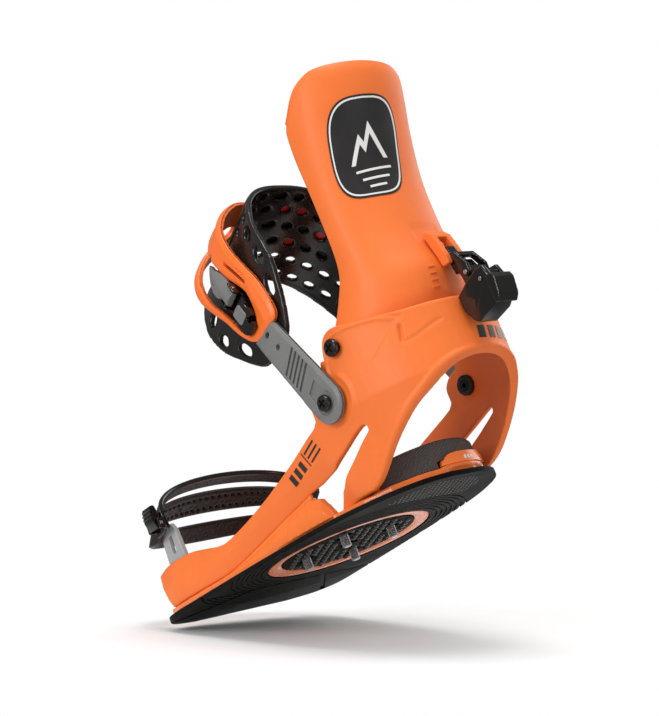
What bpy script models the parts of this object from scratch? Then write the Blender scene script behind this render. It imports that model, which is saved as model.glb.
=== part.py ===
"""Snowboard strap binding: orange chassis with heel hoop, base tray, mounting disc, highback and straps.

Frame: metres, +Z up. The origin is the centre of the mounting disc on the sole plane, which meets the board.
-Y points to the toe, +Y to the heel, +X to the side that carries the strap adjusters.
Lengths below are written in millimetres and turned into metres by MM.
"""
import math

import bmesh
import bpy
from mathutils import Matrix, Vector

MM = 0.001
GAP = 0.3                      # clearance left between neighbouring solids

# driving dimensions, mm
SCREW_GRID = 40.0              # board insert pattern
SCREW_STICK_OUT = 5.5          # thread left standing out of the sole for the inserts
DISC_R = 44.0
RING_R = 54.0
SOLE_T = 3.0                   # rubber sole thickness
TRAY_TOP = 7.5                 # where the side arms stand on the tray
BUMPER_TOP = 11.5              # low wall behind the heel
WALL_T = 5.0                   # side arm wall
HOOP_Y = 95.0                  # where the heel hoop starts to curve
HINGE = (110.0, 89.0)          # highback hinge, y and z
ANKLE = (94.0, 62.0)           # ankle strap bolt, y and z
TOE_PIN = (-89.0, 24.0)        # toe strap pin, y and z
LEAN_PIN = (173.9, 101.3)      # forward-lean lever pin, y and z
LEAN_X = -8.0                  # the lean adjuster stands a little off the middle
LATCH_PIN = (187.8, 90.0)      # heel latch lever pin, y and z
TOE_LEVER_PIN = (73.2, 58.5)   # toe clip lever pin, x and z
STRAP_LEAN = math.radians(116) # direction in which the ankle strap rises, from +Y

ORANGE = (0.90, 0.22, 0.03)
GLOSS_ORANGE = (0.93, 0.20, 0.02)
BLACK = (0.02, 0.018, 0.017)
GREY = (0.16, 0.165, 0.17)
FOAM = (0.05, 0.05, 0.052)
STEEL = (0.6, 0.6, 0.6)

for old in list(bpy.data.objects):
    bpy.data.objects.remove(old, do_unlink=True)


def material(name, colour, roughness, metallic=0.0):
    mat = bpy.data.materials.new(name)
    mat.use_nodes = True
    shader = mat.node_tree.nodes["Principled BSDF"]
    shader.inputs["Base Color"].default_value = (*colour, 1.0)
    shader.inputs["Roughness"].default_value = roughness
    shader.inputs["Metallic"].default_value = metallic
    mat.diffuse_color = (*colour, 1.0)
    return mat


def pivot(name, point):
    """Empty on a joint's axis, parent of the pieces that turn about it."""
    empty = bpy.data.objects.new(name, None)
    empty.location = Vector(point) * MM
    bpy.context.scene.collection.objects.link(empty)
    return empty


def finish(name, bm, colour, roughness, metallic=0.0, parent=None, cutter=False):
    bmesh.ops.recalc_face_normals(bm, faces=bm.faces)
    mesh = bpy.data.meshes.new(name)
    bm.to_mesh(mesh)
    bm.free()
    obj = bpy.data.objects.new(name, mesh)
    bpy.context.scene.collection.objects.link(obj)
    if cutter:
        obj.hide_render = True
        obj.display_type = "WIRE"
        return obj
    mesh.materials.append(material(name, colour, roughness, metallic))
    mesh.shade_smooth()
    mesh.set_sharp_from_angle(angle=math.radians(35))
    if parent:
        obj.parent = parent
        obj.matrix_parent_inverse = Matrix.Translation(-parent.location)
    return obj


def boolean(obj, tool, operation):
    mod = obj.modifiers.new(tool.name, "BOOLEAN")
    mod.operation = operation
    mod.solver = "EXACT"
    mod.object = tool


def table(value, rows, column):
    """Column of a row table, interpolated at value of column 0."""
    if value <= rows[0][0]:
        return rows[0][column]
    for low, high in zip(rows, rows[1:]):
        if value <= high[0]:
            t = (value - low[0]) / (high[0] - low[0])
            return low[column] + t * (high[column] - low[column])
    return rows[-1][column]


def loft(rings, closed=False):
    """Closed solid through rings of points; with closed, the last ring joins the first."""
    bm = bmesh.new()
    rows = [[bm.verts.new(Vector(p) * MM) for p in ring] for ring in rings]
    count = len(rings[0])
    pairs = list(zip(rows, rows[1:])) + ([(rows[-1], rows[0])] if closed else [])
    for low, high in pairs:
        for i in range(count):
            j = (i + 1) % count
            bm.faces.new((low[i], low[j], high[j], high[i]))
    if not closed:
        bm.faces.new(rows[0])
        bm.faces.new(rows[-1])
    return bm


def place(axis, flat, depth):
    """Point whose coordinate along the axis is depth and whose two others are flat."""
    a, b = flat
    return {"X": (depth, a, b), "Y": (a, depth, b), "Z": (a, b, depth)}[axis]


def prism(outline, axis, low, high):
    """Outline extruded along an axis; the outline gives the other two coordinates in X, Y, Z order."""
    return loft([[place(axis, p, low) for p in outline], [place(axis, p, high) for p in outline]])


def circle(centre, radius, count, start=0.0):
    return [(centre[0] + radius * math.cos(start + 2 * math.pi * i / count),
             centre[1] + radius * math.sin(start + 2 * math.pi * i / count)) for i in range(count)]


def turned(profile, axis, centre, count):
    """Solid of stacked circles; profile rows are (radius, distance along the axis)."""
    return loft([[place(axis, p, d) for p in circle(centre, r, count)] for r, d in profile])


def rounded(outline, radius, steps=3):
    """Outline with each corner replaced by an arc-like curve."""
    out = []
    count = len(outline)
    for i in range(count):
        before, here, after = (Vector(outline[i - 1]), Vector(outline[i]), Vector(outline[(i + 1) % count]))
        r = min(radius, (before - here).length * 0.45, (after - here).length * 0.45)
        a = here + (before - here).normalized() * r
        b = here + (after - here).normalized() * r
        for k in range(steps + 1):
            t = k / steps
            p = a * (1 - t) ** 2 + here * 2 * t * (1 - t) + b * t ** 2
            out.append((p.x, p.y))
    return out


def box_outline(low, high, radius=0.0, steps=2):
    outline = [(low[0], low[1]), (high[0], low[1]), (high[0], high[1]), (low[0], high[1])]
    return rounded(outline, radius, steps) if radius else outline


def mirrored(points):
    """Outline of (x, y) points on the +X side, closed with its mirror image."""
    return points + [(-x, y) for x, y in reversed(points)]


# ---------------------------------------------------------------- base tray and sole

# half width of the sole against y, from the toe corner to the heel
SOLE_EDGE = [(40, -124), (60, -118), (70, -108), (73, -95), (72, -67), (70.5, -35), (68, 0), (64.5, 33), (60, 59),
             (53, 79), (43, 97), (29, 110), (13, 116.3)]
# the orange tray stands a little inside the sole
TRAY_EDGE = [(39.5, -122), (57.5, -116), (67.5, -106), (70, -95), (69, -67), (66.5, -43), (62.5, -13),
             (57.5, 13), (53.5, 37), (51, 57), (47.5, 75), (39.5, 93), (26.5, 106), (10.5, 113)]


def sole_outline(edge, low_y, high_y):
    """Part of an edge table between two y values, mirrored into a closed outline."""
    rows = [(y, x) for x, y in edge]
    inner = [(x, y) for x, y in edge if low_y < y < high_y]
    if low_y > rows[0][0]:
        inner = [(table(low_y, rows, 1), low_y)] + inner
    if high_y < rows[-1][0]:
        inner = inner + [(table(high_y, rows, 1), high_y)]
    return mirrored(inner)


def sole_pads():
    """Two rubber sole pads with a thin flex gap between them ahead of the disc ring."""
    flex_y = -66.0
    opening = turned([(RING_R + GAP, -2), (RING_R + GAP, 9)], "Z", (0, 0), 36)
    hole = finish("sole_hole", opening, BLACK, 1, cutter=True)
    front = prism(sole_outline(SOLE_EDGE, -200, flex_y - 1.0), "Z", 0, SOLE_T)
    finish("front_sole_pad", front, BLACK, 0.8)
    rear = prism(sole_outline(SOLE_EDGE, flex_y + 1.0, 200), "Z", 0, SOLE_T)
    boolean(finish("rear_sole_pad", rear, BLACK, 0.8), hole, "DIFFERENCE")


def base_tray():
    """Plate with the disc seat, side swellings under the arms and a bumper at the heel."""
    plate = prism(sole_outline(TRAY_EDGE, -200, 200), "Z", SOLE_T + GAP, TRAY_TOP - GAP)
    tray = finish("base_tray", plate, GLOSS_ORANGE, 0.25)
    ring = turned([(RING_R, 0.4), (RING_R, SOLE_T + 1)], "Z", (0, 0), 36)
    boolean(tray, finish("ring", ring, BLACK, 1, cutter=True), "UNION")
    for side, name in ((1, "near"), (-1, "far")):
        # swelling that closes the space between the arm, the window and the sole
        rows = [(-42, 63.5, 7.6, 57), (-25, 62, 10.2, 53), (-5, 59.3, 13.9, 51), (17, 57.3, 18.7, 49),
                (37, 54.8, 23.2, 47), (46, 53.4, 20, 47), (52.5, 52.3, 8.4, 46.5)]
        rings = []
        for y, x, top, inner in rows:
            base = TRAY_TOP - 1.5
            middle = (base + top) / 2
            rings.append([(side * inner, y, base), (side * (x + 1.5), y, base), (side * (x + 0.8), y, middle),
                          (side * (x - 2.2), y, top), (side * inner, y, top)])
        tool = finish("swelling_" + name, loft(rings), BLACK, 1, cutter=True)
        boolean(tray, tool, "UNION")
    arc = [math.radians(a) for a in range(74, 133, 9)]
    outer = [(46 * math.cos(a), 65 + 50.0 * math.sin(a)) for a in arc]
    inner = [(41 * math.cos(a), 65 + 45.0 * math.sin(a)) for a in reversed(arc)]
    bumper = prism(outer + inner, "Z", TRAY_TOP - 1.5, BUMPER_TOP)
    boolean(tray, finish("bumper", bumper, BLACK, 1, cutter=True), "UNION")
    seat = turned([(DISC_R + 0.4, -1), (DISC_R + 0.4, 4.2), (DISC_R + 3.4, 4.21), (DISC_R + 3.4, 20)],
                  "Z", (0, 0), 36)
    boolean(tray, finish("disc_seat", seat, BLACK, 1, cutter=True), "DIFFERENCE")
    rim = turned([(52, -1.0), (DISC_R + 0.3, 1.8)], "Z", (0, 0), 36)
    boolean(tray, finish("ring_cone", rim, BLACK, 1, cutter=True), "DIFFERENCE")


def mounting_disc():
    """Serrated clamp disc with four screws on the insert pattern; it turns in the tray to set the stance."""
    turn = pivot("disc_axis", (0, 0, 0))
    body = turned([(DISC_R, 1.2), (DISC_R, 4.6), (DISC_R + 3, 4.61), (DISC_R + 3, 6.6), (30, 8.6), (14, 8.6)],
                  "Z", (0, 0), 36)
    disc = finish("mounting_disc", body, BLACK, 0.55, parent=turn)
    hub = turned([(6, 0), (6, 3)], "Z", (0, 0), 16)
    boolean(disc, finish("disc_hub", hub, BLACK, 1, cutter=True), "UNION")
    half = SCREW_GRID / 2
    for i, (sx, sy) in enumerate(((1, 1), (-1, 1), (-1, -1), (1, -1)), 1):
        slot = rounded(box_outline((sx * half - 3.5, sy * half - 7.5), (sx * half + 3.5, sy * half + 7.5)), 3.4)
        boolean(disc, finish(f"slot_{i}", prism(slot, "Z", -3, 20), BLACK, 1, cutter=True), "DIFFERENCE")
        pocket = rounded(box_outline((sx * half - 7, sy * half - 11), (sx * half + 7, sy * half + 11)), 6.5)
        boolean(disc, finish(f"pocket_{i}", prism(pocket, "Z", 4.5, 20), BLACK, 1, cutter=True), "DIFFERENCE")
        screw = turned([(2.2, -SCREW_STICK_OUT), (3, -SCREW_STICK_OUT + 0.8), (3, 4.8), (6.3, 4.81), (6.3, 6.8),
                        (4.2, 8.2)], "Z", (sx * half, sy * half), 12)
        finish(f"disc_screw_{i}", screw, STEEL, 0.3, 1.0, parent=turn)


# ---------------------------------------------------------------- chassis

# plan shape of the side wall: y, x at the foot, x at the ankle and above
WALL_ROWS = [(-130, 71.8, 69.8), (-115, 71.8, 68.8), (-75, 70.3, 67.3), (-45, 67.8, 64.8), (-15, 62.8, 59.8),
             (10, 56.8, 58.8), (40, 48.8, 59.3), (65, 46.8, 59.8), (HOOP_Y, 46.8, 59.8)]
LEAN_TOP = 53.0                # the wall leans outward up to this height, then stands upright
# side view of the arm, the ankle plate and the heel hoop, (y, z)
ARM_UNDER = [(-103, TRAY_TOP), (-45, TRAY_TOP), (-27, 10.8), (-13, 14.2), (10, 20), (39, 26), (52, 27)]
WINDOW_EDGE = [(68, 30), (87, 36), (103, 41), (108, 40.5), (108, 37.5), (100, 34), (89, 29), (75, 23), (63, 17),
               (56, 8.5), (54, TRAY_TOP)]
ARCH_EDGE = [(88, TRAY_TOP), (96, 10), (104, 14.5), (111, 19.5), (119, 25.5), (128, 32), (137, 38.5), (146, 44),
             (154, 50), (161, 55), (171, 59)]
HOOP_TOP = [(171, 91), (150, 92), (136, 95), (123, 98), (112, 100.5), (106, 99), (102, 95), (99.5, 88), (97.5, 80),
            (92, 76.5), (82, 74), (75, 68), (74.5, 58.5)]
ARM_TOP = [(71, 55.5), (47, 48.5), (21, 41), (-6, 33), (-29, 27), (-41, 26), (-56, 29.5), (-73, 33.5), (-100, 34),
           (-112, 31.5)]


def wall_station(y_or_angle, on_hoop, inset):
    """Outer or inset points of the side wall at the foot, at LEAN_TOP and above, on the +X side."""
    if not on_hoop:
        y = y_or_angle
        foot, top = table(y, WALL_ROWS, 1) - inset, table(y, WALL_ROWS, 2) - inset
        return [(foot, y, 0), (top, y, LEAN_TOP), (top, y, 112)]
    c, s = math.cos(y_or_angle), math.sin(y_or_angle)
    foot = ((46.8 - inset) * c, HOOP_Y + (60 - inset) * s, 0)
    top = ((59.8 - inset) * c, HOOP_Y + (71 - inset) * s, LEAN_TOP)
    return [foot, top, (top[0], top[1], 112)]


def wall_thickness(y):
    """The toe boxes are deep hollow-looking blocks, the arms thin walls."""
    return table(y, [(-200, 15.0), (-57, 15.0), (-39, 7.0), (5, WALL_T)], 1)


TRAY_SCREWS = [(39.5, 75), (49, -86)]    # x, y of the screws that hold the chassis on the tray


def bent_wall(grow):
    """Rings of the bent side wall, thicker by grow on both faces."""
    near = [(y, False) for y in (-130, -115, -95, -75, -57, -45, -30, -15, -2, 10, 25, 40, 55, 70, 85)]
    hoop = [(math.radians(a), True) for a in range(0, 91, 9)]
    rings = []
    for value, on_hoop in near + hoop:
        t = WALL_T if on_hoop else wall_thickness(value)
        rings.append(wall_station(value, on_hoop, -grow) + wall_station(value, on_hoop, t + grow)[::-1])
    return rings + [[(-x, y, z) for x, y, z in ring] for ring in rings[-2::-1]]


def side_view(shift_y=0.0, shift_z=0.0):
    outline = ARM_UNDER + WINDOW_EDGE + ARCH_EDGE + HOOP_TOP + ARM_TOP
    return prism([(y + shift_y, z + shift_z) for y, z in outline], "X", -90, 90)


def chassis():
    """One moulding: toe boxes, side arms, struts and heel hoop, cut from a bent wall by its side view."""
    body = finish("chassis", loft(bent_wall(0)), ORANGE, 0.45)
    boolean(body, finish("side_view", side_view(), BLACK, 1, cutter=True), "INTERSECT")
    tray = bpy.data.objects["base_tray"]
    for k, shift in enumerate(((0, -GAP - 0.1), (-GAP - 0.3, 0))):
        clear = finish(f"tray_clearance_{k}", loft(bent_wall(GAP)), BLACK, 1, cutter=True)
        boolean(clear, finish(f"clearance_view_{k}", side_view(*shift), BLACK, 1, cutter=True), "INTERSECT")
        boolean(tray, clear, "DIFFERENCE")
    for side, name in ((1, "near"), (-1, "far")):
        flange = prism([(side * 34.5, 64), (side * 46.5, 64), (side * 45.5, 85), (side * 34.5, 85)],
                       "Z", TRAY_TOP + 0.05, TRAY_TOP + 3)
        boolean(body, finish("foot_flange_" + name, flange, BLACK, 1, cutter=True), "UNION")
        toe_flange = prism([(side * 44, -101), (side * 61, -101), (side * 61, -71), (side * 44, -71)],
                           "Z", TRAY_TOP, TRAY_TOP + 3)
        boolean(body, finish("toe_flange_" + name, toe_flange, BLACK, 1, cutter=True), "UNION")
        for label, (y, z), r in (("hinge", HINGE, 3.1), ("ankle", ANKLE, 3.1)):
            hole = turned([(r, side * 40), (r, side * 80)], "X", (y, z), 16)
            boolean(body, finish(f"{label}_hole_{name}", hole, BLACK, 1, cutter=True), "DIFFERENCE")
        slot = prism([(-101, 13), (-77, 13), (-77, 24), (-71, 60), (-111, 60), (-101, 24)],
                     "X", side * 59.4, side * 64.2)
        boolean(body, finish("toe_slot_" + name, slot, BLACK, 1, cutter=True), "DIFFERENCE")
        hole = turned([(2.1, side * 50), (2.1, side * 67)], "X", TOE_PIN, 12)
        boolean(body, finish("toe_hole_" + name, hole, BLACK, 1, cutter=True), "DIFFERENCE")
        for k, (x, y) in enumerate(TRAY_SCREWS):
            hole = turned([(2.1, 2), (2.1, 20)], "Z", (side * x, y), 12)
            boolean(body, finish(f"tray_screw_hole_{name}_{k}", hole, BLACK, 1, cutter=True), "DIFFERENCE")
            blind = turned([(2.1, 4.4), (2.1, 20)], "Z", (side * x, y), 12)
            boolean(tray, finish(f"tray_hole_{name}_{k}", blind, BLACK, 1, cutter=True), "DIFFERENCE")


def frame_fasteners():
    for side, name in ((1, "near"), (-1, "far")):
        for k, (x, y) in enumerate(TRAY_SCREWS):
            label = ("heel", "toe")[k]
            top = TRAY_TOP + 3
            screw = turned([(1.8, 4.8), (1.8, top + 0.3), (4, top + 0.31), (4, top + 1.6), (2.6, top + 2.6)],
                           "Z", (side * x, y), 12)
            finish(f"{label}_tray_screw_{name}", screw, STEEL, 0.35, 1.0)
        hinge = turned([(2.8, side * 45.0), (2.8, side * 59.9), (5.4, side * 59.91), (5.4, side * 61.4),
                        (3.4, side * 62.6)], "X", HINGE, 16)
        finish("hinge_bolt_" + name, hinge, BLACK, 0.35, 0.6)
        ankle = turned([(2.8, side * 51.2), (2.8, side * 65.5), (5.0, side * 65.51), (5.0, side * 67.0),
                        (3.2, side * 68.0)], "X", ANKLE, 16)
        finish("ankle_bolt_" + name, ankle, BLACK, 0.35, 0.6)
        nut = loft([[place("X", p, side * d) for p in circle(ANKLE, r, 12)] for r, d in
                    ((6.6, 51.2), (6.6, 54.4))])
        ring = finish("ankle_nut_" + name, nut, BLACK, 0.35, 0.6)
        bore = turned([(3.1, side * 48), (3.1, side * 60)], "X", ANKLE, 16)
        boolean(ring, finish("nut_bore_" + name, bore, BLACK, 1, cutter=True), "DIFFERENCE")
        toe = turned([(3.0, side * 51.2), (4.0, side * 52), (4.0, side * 53.3), (1.8, side * 53.31),
                      (1.8, side * 66.6)], "X", TOE_PIN, 12)
        finish("toe_pin_" + name, toe, BLACK, 0.35, 0.6)


# ---------------------------------------------------------------- footbeds

def heel_footbed():
    """Foam heel wedge, higher at its rim, with a collar that lies over the bumper of the tray."""
    outline = [(40, 53), (41.5, 61), (41, 73), (38.3, 86), (30, 95.5), (20.5, 102.6), (10, 107)]
    collar = [(40, 53), (42, 61), (42.5, 73), (40.5, 86), (35.5, 95.5), (25.5, 104.5), (12, 111.5)]
    ring, wide = mirrored(outline), mirrored(collar)
    low = TRAY_TOP + 0.1
    step = BUMPER_TOP + 0.15
    rings = [[(x, y, low) for x, y in ring], [(x, y, step) for x, y in ring], [(x, y, step + 0.01) for x, y in wide],
             [(x, y, 17 + 0.08 * (y - 53)) for x, y in wide],
             [(x * 0.95, 55 + (y - 55) * 0.96, 18.6 + 0.09 * (y - 53)) for x, y in wide]]
    pad = finish("heel_footbed", loft(rings), FOAM, 0.9)
    for side, name in ((1, "near"), (-1, "far")):
        relief = prism(box_outline((side * 33.9, 45), (side * 56, 86)), "Z", 5, TRAY_TOP + 6.2)
        boolean(pad, finish("flange_relief_" + name, relief, BLACK, 1, cutter=True), "DIFFERENCE")


def toe_ramp():
    """Adjustable toe ramp that slides forward, with its foam footbed on top."""
    outline = mirrored([(38, -120), (43, -114), (43, -60), (30, -56)])
    rings = [[(x, y, TRAY_TOP + 0.1) for x, y in outline], [(x, y, 12 - 0.03 * (y + 60)) for x, y in outline]]
    finish("toe_ramp", loft(rings), ORANGE, 0.5)
    pad = mirrored([(35, -118), (41, -111), (41, -64), (28, -59)])
    rings = [[(x, y, 12.35 - 0.03 * (y + 60)) for x, y in pad], [(x, y, 16.5 - 0.045 * (y + 60)) for x, y in pad],
             [(x * 0.93, -88 + (y + 88) * 0.94, 18 - 0.045 * (y + 60)) for x, y in pad]]
    finish("toe_footbed", loft(rings), FOAM, 0.9)


# ---------------------------------------------------------------- highback

# height, half width, y of the front edges, y of the back
SHELL_ROWS = [(80, 51.5, 99, 148), (96, 51.0, 101, 155), (104, 48.5, 106, 157.5), (116, 46, 113, 158),
              (130, 43.5, 119, 154), (148, 43, 121, 150.5), (180, 43.5, 121, 150), (210, 44.5, 121, 157.5),
              (232, 45.0, 124, 165), (248, 44.5, 129, 168.5), (262, 42, 136, 170)]
SHELL_T = 4.2


def shell_point(across, height, inset):
    """Point on the shell; across runs from 0 at the +X edge to 1 at the -X edge."""
    a = table(height, SHELL_ROWS, 1) - inset
    front = table(height, SHELL_ROWS, 2)
    back = table(height, SHELL_ROWS, 3) - inset
    t = math.pi * across
    return (a * math.cos(t), front + (back - front) * math.sin(t) ** 0.85, height)


def shell_edges(across):
    """Lowest and highest point of the shell at a place across it."""
    middle = math.sin(math.pi * across)
    low = table(middle, [(0, 84), (0.2, 80.5), (0.42, 84), (0.62, 93), (0.8, 97), (1, 98)], 1)
    top = table(middle, [(0, 230), (0.2, 243), (0.42, 248), (0.6, 249), (1, 248)], 1)
    return low, top


def highback(fold):
    across = [i / 20 for i in range(21)]
    rings = []
    for a in across:
        low, top = shell_edges(a)
        heights = [low + (top - low) * k / 10 for k in range(11)]
        outer = [shell_point(a, h, 0) for h in heights]
        inner = [shell_point(a, h, SHELL_T) for h in reversed(heights)]
        rings.append(outer + inner)
    shell = finish("highback_shell", loft(rings), ORANGE, 0.5, parent=fold)
    for side, name in ((1, "near"), (-1, "far")):
        boss = turned([(7.5, side * 46.4), (7.5, side * 51.1)], "X", HINGE, 16)
        boolean(shell, finish("hinge_boss_" + name, boss, BLACK, 1, cutter=True), "UNION")
        hole = turned([(3.1, side * 40), (3.1, side * 70)], "X", HINGE, 16)
        boolean(shell, finish("wing_hole_" + name, hole, BLACK, 1, cutter=True), "DIFFERENCE")
    rings = []
    for i in range(15):
        a = 0.15 + 0.05 * i
        heights = [118 + 120 * k / 7 for k in range(8)]
        rings.append([shell_point(a, h, SHELL_T + 1.2) for h in heights]
                     + [shell_point(a, h, SHELL_T + 4.5) for h in reversed(heights)])
    finish("highback_pad", loft(rings), FOAM, 0.9, parent=fold)


def lean_prism(outline, low, high):
    return prism(outline, "X", LEAN_X + low, LEAN_X + high)


def lean_adjuster(fold):
    """Forward-lean bridge on the back of the shell, its sliding foot and the lever that locks it."""
    rail = [(153.4, 136), (156.5, 137), (160, 133), (162.4, 125), (164.3, 118), (164.3, 112.6), (158.8, 112.6),
            (157.4, 120), (154.8, 129.5)]
    bracket = finish("lean_bracket", lean_prism(rail, -8, 8), ORANGE, 0.5, parent=fold)
    window = prism(box_outline((LEAN_X - 4.2, 110), (LEAN_X + 4.2, 131.5)), "Y", 100, 200)
    boolean(bracket, finish("bracket_window", window, BLACK, 1, cutter=True), "DIFFERENCE")
    foot = [(166.8, 112), (169, 112), (171.5, 107), (176.1, 104.5), (176.7, 101), (176.1, 98), (173.5, 96.5),
            (173.3, 93.6), (168.3, 93.6), (167.9, 99), (166.8, 105)]
    block = finish("lean_block", lean_prism(foot, -6.5, 6.5), BLACK, 0.4, parent=fold)
    tongue = [(160.9, 112.8), (162, 105.5), (168, 105.5), (168, 112), (165.5, 116), (163.6, 122), (162.9, 124),
              (159.9, 124), (160.1, 120)]
    boolean(block, finish("block_tongue", lean_prism(tongue, -3.7, 3.7), BLACK, 1, cutter=True), "UNION")
    bore = turned([(1.8, -30), (1.8, 20)], "X", LEAN_PIN, 12)
    pin_hole = finish("lean_pin_hole", bore, BLACK, 1, cutter=True)
    boolean(block, pin_hole, "DIFFERENCE")
    pin = turned([(1.5, LEAN_X - 9.6), (1.5, LEAN_X + 9.6)], "X", LEAN_PIN, 12)
    finish("lean_pin", pin, STEEL, 0.3, 1.0, parent=fold)
    hinge = pivot("lean_lever_axis", (LEAN_X, *LEAN_PIN))
    cheek = [(168, 113), (167.6, 116.4), (170.6, 116.4), (176.9, 106), (176.9, 100.5), (174.1, 98.2),
             (171.3, 100.5), (171.3, 107)]
    lever = finish("lean_lever", lean_prism(cheek, 6.9, 9), BLACK, 0.4, parent=hinge)
    boolean(lever, finish("lever_cheek", lean_prism(cheek, -9, -6.9), BLACK, 1, cutter=True), "UNION")
    bar = [(168, 113), (167.6, 116.4), (170.6, 116.4), (172, 113)]
    boolean(lever, finish("lever_bar", lean_prism(bar, -7.5, 7.5), BLACK, 1, cutter=True), "UNION")
    boolean(lever, pin_hole, "DIFFERENCE")


def heel_latch():
    """Black latch block on the rear of the heel hoop with a small lever pinned in its slot."""
    side = [(166.3, 90), (166.3, 78), (171, 78), (179, 70.5), (185, 68), (191, 69.5), (191, 92), (187.5, 95.5),
            (178, 94)]
    housing = finish("latch_housing", prism(side, "X", -7.5, 7.5), BLACK, 0.35)
    slot = prism([(183.6, 84), (200, 84), (200, 100), (183.6, 100)], "X", -4.2, 4.2)
    boolean(housing, finish("latch_slot", slot, BLACK, 1, cutter=True), "DIFFERENCE")
    hinge = pivot("latch_lever_axis", (0, *LATCH_PIN))
    plate = [(191.5, 89.5), (196.5, 89.5), (198, 86), (196.5, 76), (193.5, 72.5), (191.5, 73)]
    lever = finish("latch_lever", prism(plate, "X", -8.3, 8.3), BLACK, 0.3, parent=hinge)
    knuckle = [(187.3, 87), (192.5, 86.5), (192.5, 93.2), (187.3, 92.8), (185.2, 91.5), (184.6, 89.8), (185.4, 88)]
    boolean(lever, finish("latch_knuckle", prism(knuckle, "X", -3.8, 3.8), BLACK, 1, cutter=True), "UNION")
    bore = finish("latch_bore", turned([(1.5, -20), (1.5, 20)], "X", LATCH_PIN, 12), BLACK, 1, cutter=True)
    boolean(housing, bore, "DIFFERENCE")
    boolean(lever, bore, "DIFFERENCE")
    finish("latch_pin", turned([(1.2, -8.6), (1.2, 8.6)], "X", LATCH_PIN, 12), STEEL, 0.25, 1.0)


def arch(along, across, out):
    """Point of the ankle strap; along is the distance from the near bolt, across runs heelwards, out is outward."""
    leg, bend, half, rise = 72.0, 236.0, 61.2, 92.0
    if along < leg:
        x, h = half + out, along
    elif along > leg + bend:
        x, h = -half - out, 2 * leg + bend - along
    else:
        a = math.pi * (along - leg) / bend
        x = (half + out) * math.copysign(abs(math.cos(a)) ** 0.8, math.cos(a))
        h = leg + (rise + out) * math.sin(a)
    c, s = math.cos(STRAP_LEAN), math.sin(STRAP_LEAN)
    return (x, ANKLE[0] + h * c + across * s, ANKLE[1] + h * s - across * c)


ARCH_END = 380.0               # distance along the strap from bolt to bolt


def band(rows, low, high):
    """Solid strip on the strap; rows are (along, heelward edge, toeward edge), low and high are outward."""
    return loft([[arch(a, rear, low), arch(a, rear, high), arch(a, (rear + front) / 2, high), arch(a, front, high),
                  arch(a, front, low), arch(a, (rear + front) / 2, low)] for a, rear, front in rows])


def disc_end(radius, width_rows, steps=5):
    """Rows that round the end of a strip of half width radius around along = 0."""
    angles = [math.radians(90 - 90 * i / steps) for i in range(steps)]
    rows = [(-radius * math.sin(a), radius * math.cos(a), -radius * math.cos(a)) for a in angles]
    rows[0] = (-radius, 0.8, -0.8)
    return rows + width_rows


def strap_window(along, across, half_along, half_across):
    """Cutter through the strap at a place on it."""
    ring = [(along + half_along * math.cos(a), across + half_across * math.sin(a))
            for a in (2 * math.pi * i / 8 for i in range(8))]
    return loft([[arch(a, c, -9) for a, c in ring], [arch(a, c, 9) for a, c in ring]])


def ankle_strap(swing):
    connector = disc_end(12.5, [(8, 12.4, -12.4), (40, 11.4, -11.4), (64, 10.8, -10.8), (68.8, 10.2, -10.2)])
    piece = finish("ankle_connector", band(connector, 0, 4), GREY, 0.55, parent=swing)
    for k, place_along in enumerate((46, 58)):
        boolean(piece, finish(f"connector_hole_{k}", strap_window(place_along, 0, 1.9, 1.9), BLACK, 1, cutter=True),
                "DIFFERENCE")
    ladder = disc_end(11, [(a, 11, -11) for a in (10, 56, 62, 72, 86, 104, 125)])
    ladder = [(ARCH_END - a, rear, front) for a, rear, front in ladder]
    far = finish("ankle_ladder", band(ladder, 0, 2.6), GREY, 0.5, parent=swing)
    for label, obj, side in (("near", piece, 1), ("far", far, -1)):
        hole = turned([(3.1, side * 50), (3.1, side * 80)], "X", ANKLE, 16)
        boolean(obj, finish("connector_bore_" + label, hole, BLACK, 1, cutter=True), "DIFFERENCE")
    pad = [(56, 6, -14), (62, 16, -26), (72, 24, -34), (86, 33, -38), (104, 38, -37), (125, 40, -34)]
    middle = [(a, 40, -33) for a in (145, 160, 175, 190, 205, 220, 235)]
    rows = pad + middle + [(ARCH_END - a, rear, front) for a, rear, front in pad[::-1]]
    body = finish("ankle_pad", band(rows, -4.2, -0.4), BLACK, 0.45, parent=swing)
    for i, a in enumerate(range(96, 290, 24)):
        for k, across in enumerate((-22, 25)):
            hole = strap_window(a + 6 * k, across, 3.8, 3.9)
            boolean(body, finish(f"pad_hole_{i}_{k}", hole, BLACK, 1, cutter=True), "DIFFERENCE")
    loop = [(74, 0), (78, 9), (92, 19), (112, 25), (135, 24), (155, 18), (168, 8), (166, -4), (150, -12), (128, -17),
            (106, -17), (88, -12), (78, -7)]
    centre = smooth_loop(loop, 26)
    rings = []
    for i, here in enumerate(centre):
        tangent = (centre[(i + 1) % len(centre)] - centre[i - 1]).normalized()
        normal = Vector((tangent.y, -tangent.x))
        wide, slim = here + normal * 4.5, here - normal * 4.5
        rings.append([arch(wide.x, wide.y, 0.4), arch(wide.x, wide.y, 4.4), arch(slim.x, slim.y, 4.4),
                      arch(slim.x, slim.y, 0.4)])
    finish("ankle_exo_frame", loft(rings, closed=True), ORANGE, 0.35, parent=swing)


def smooth_loop(points, count):
    """Closed Catmull-Rom curve through 2D points."""
    pts = [Vector(p) for p in points]
    out = []
    for i in range(count):
        u = i / count * len(pts)
        k, t = int(u), u - int(u)
        a, b, c, d = (pts[(k + j) % len(pts)] for j in (-1, 0, 1, 2))
        out.append(0.5 * (2 * b + (c - a) * t + (2 * a - 5 * b + 4 * c - d) * t ** 2
                          + (3 * b - a - 3 * c + d) * t ** 3))
    return out


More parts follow.
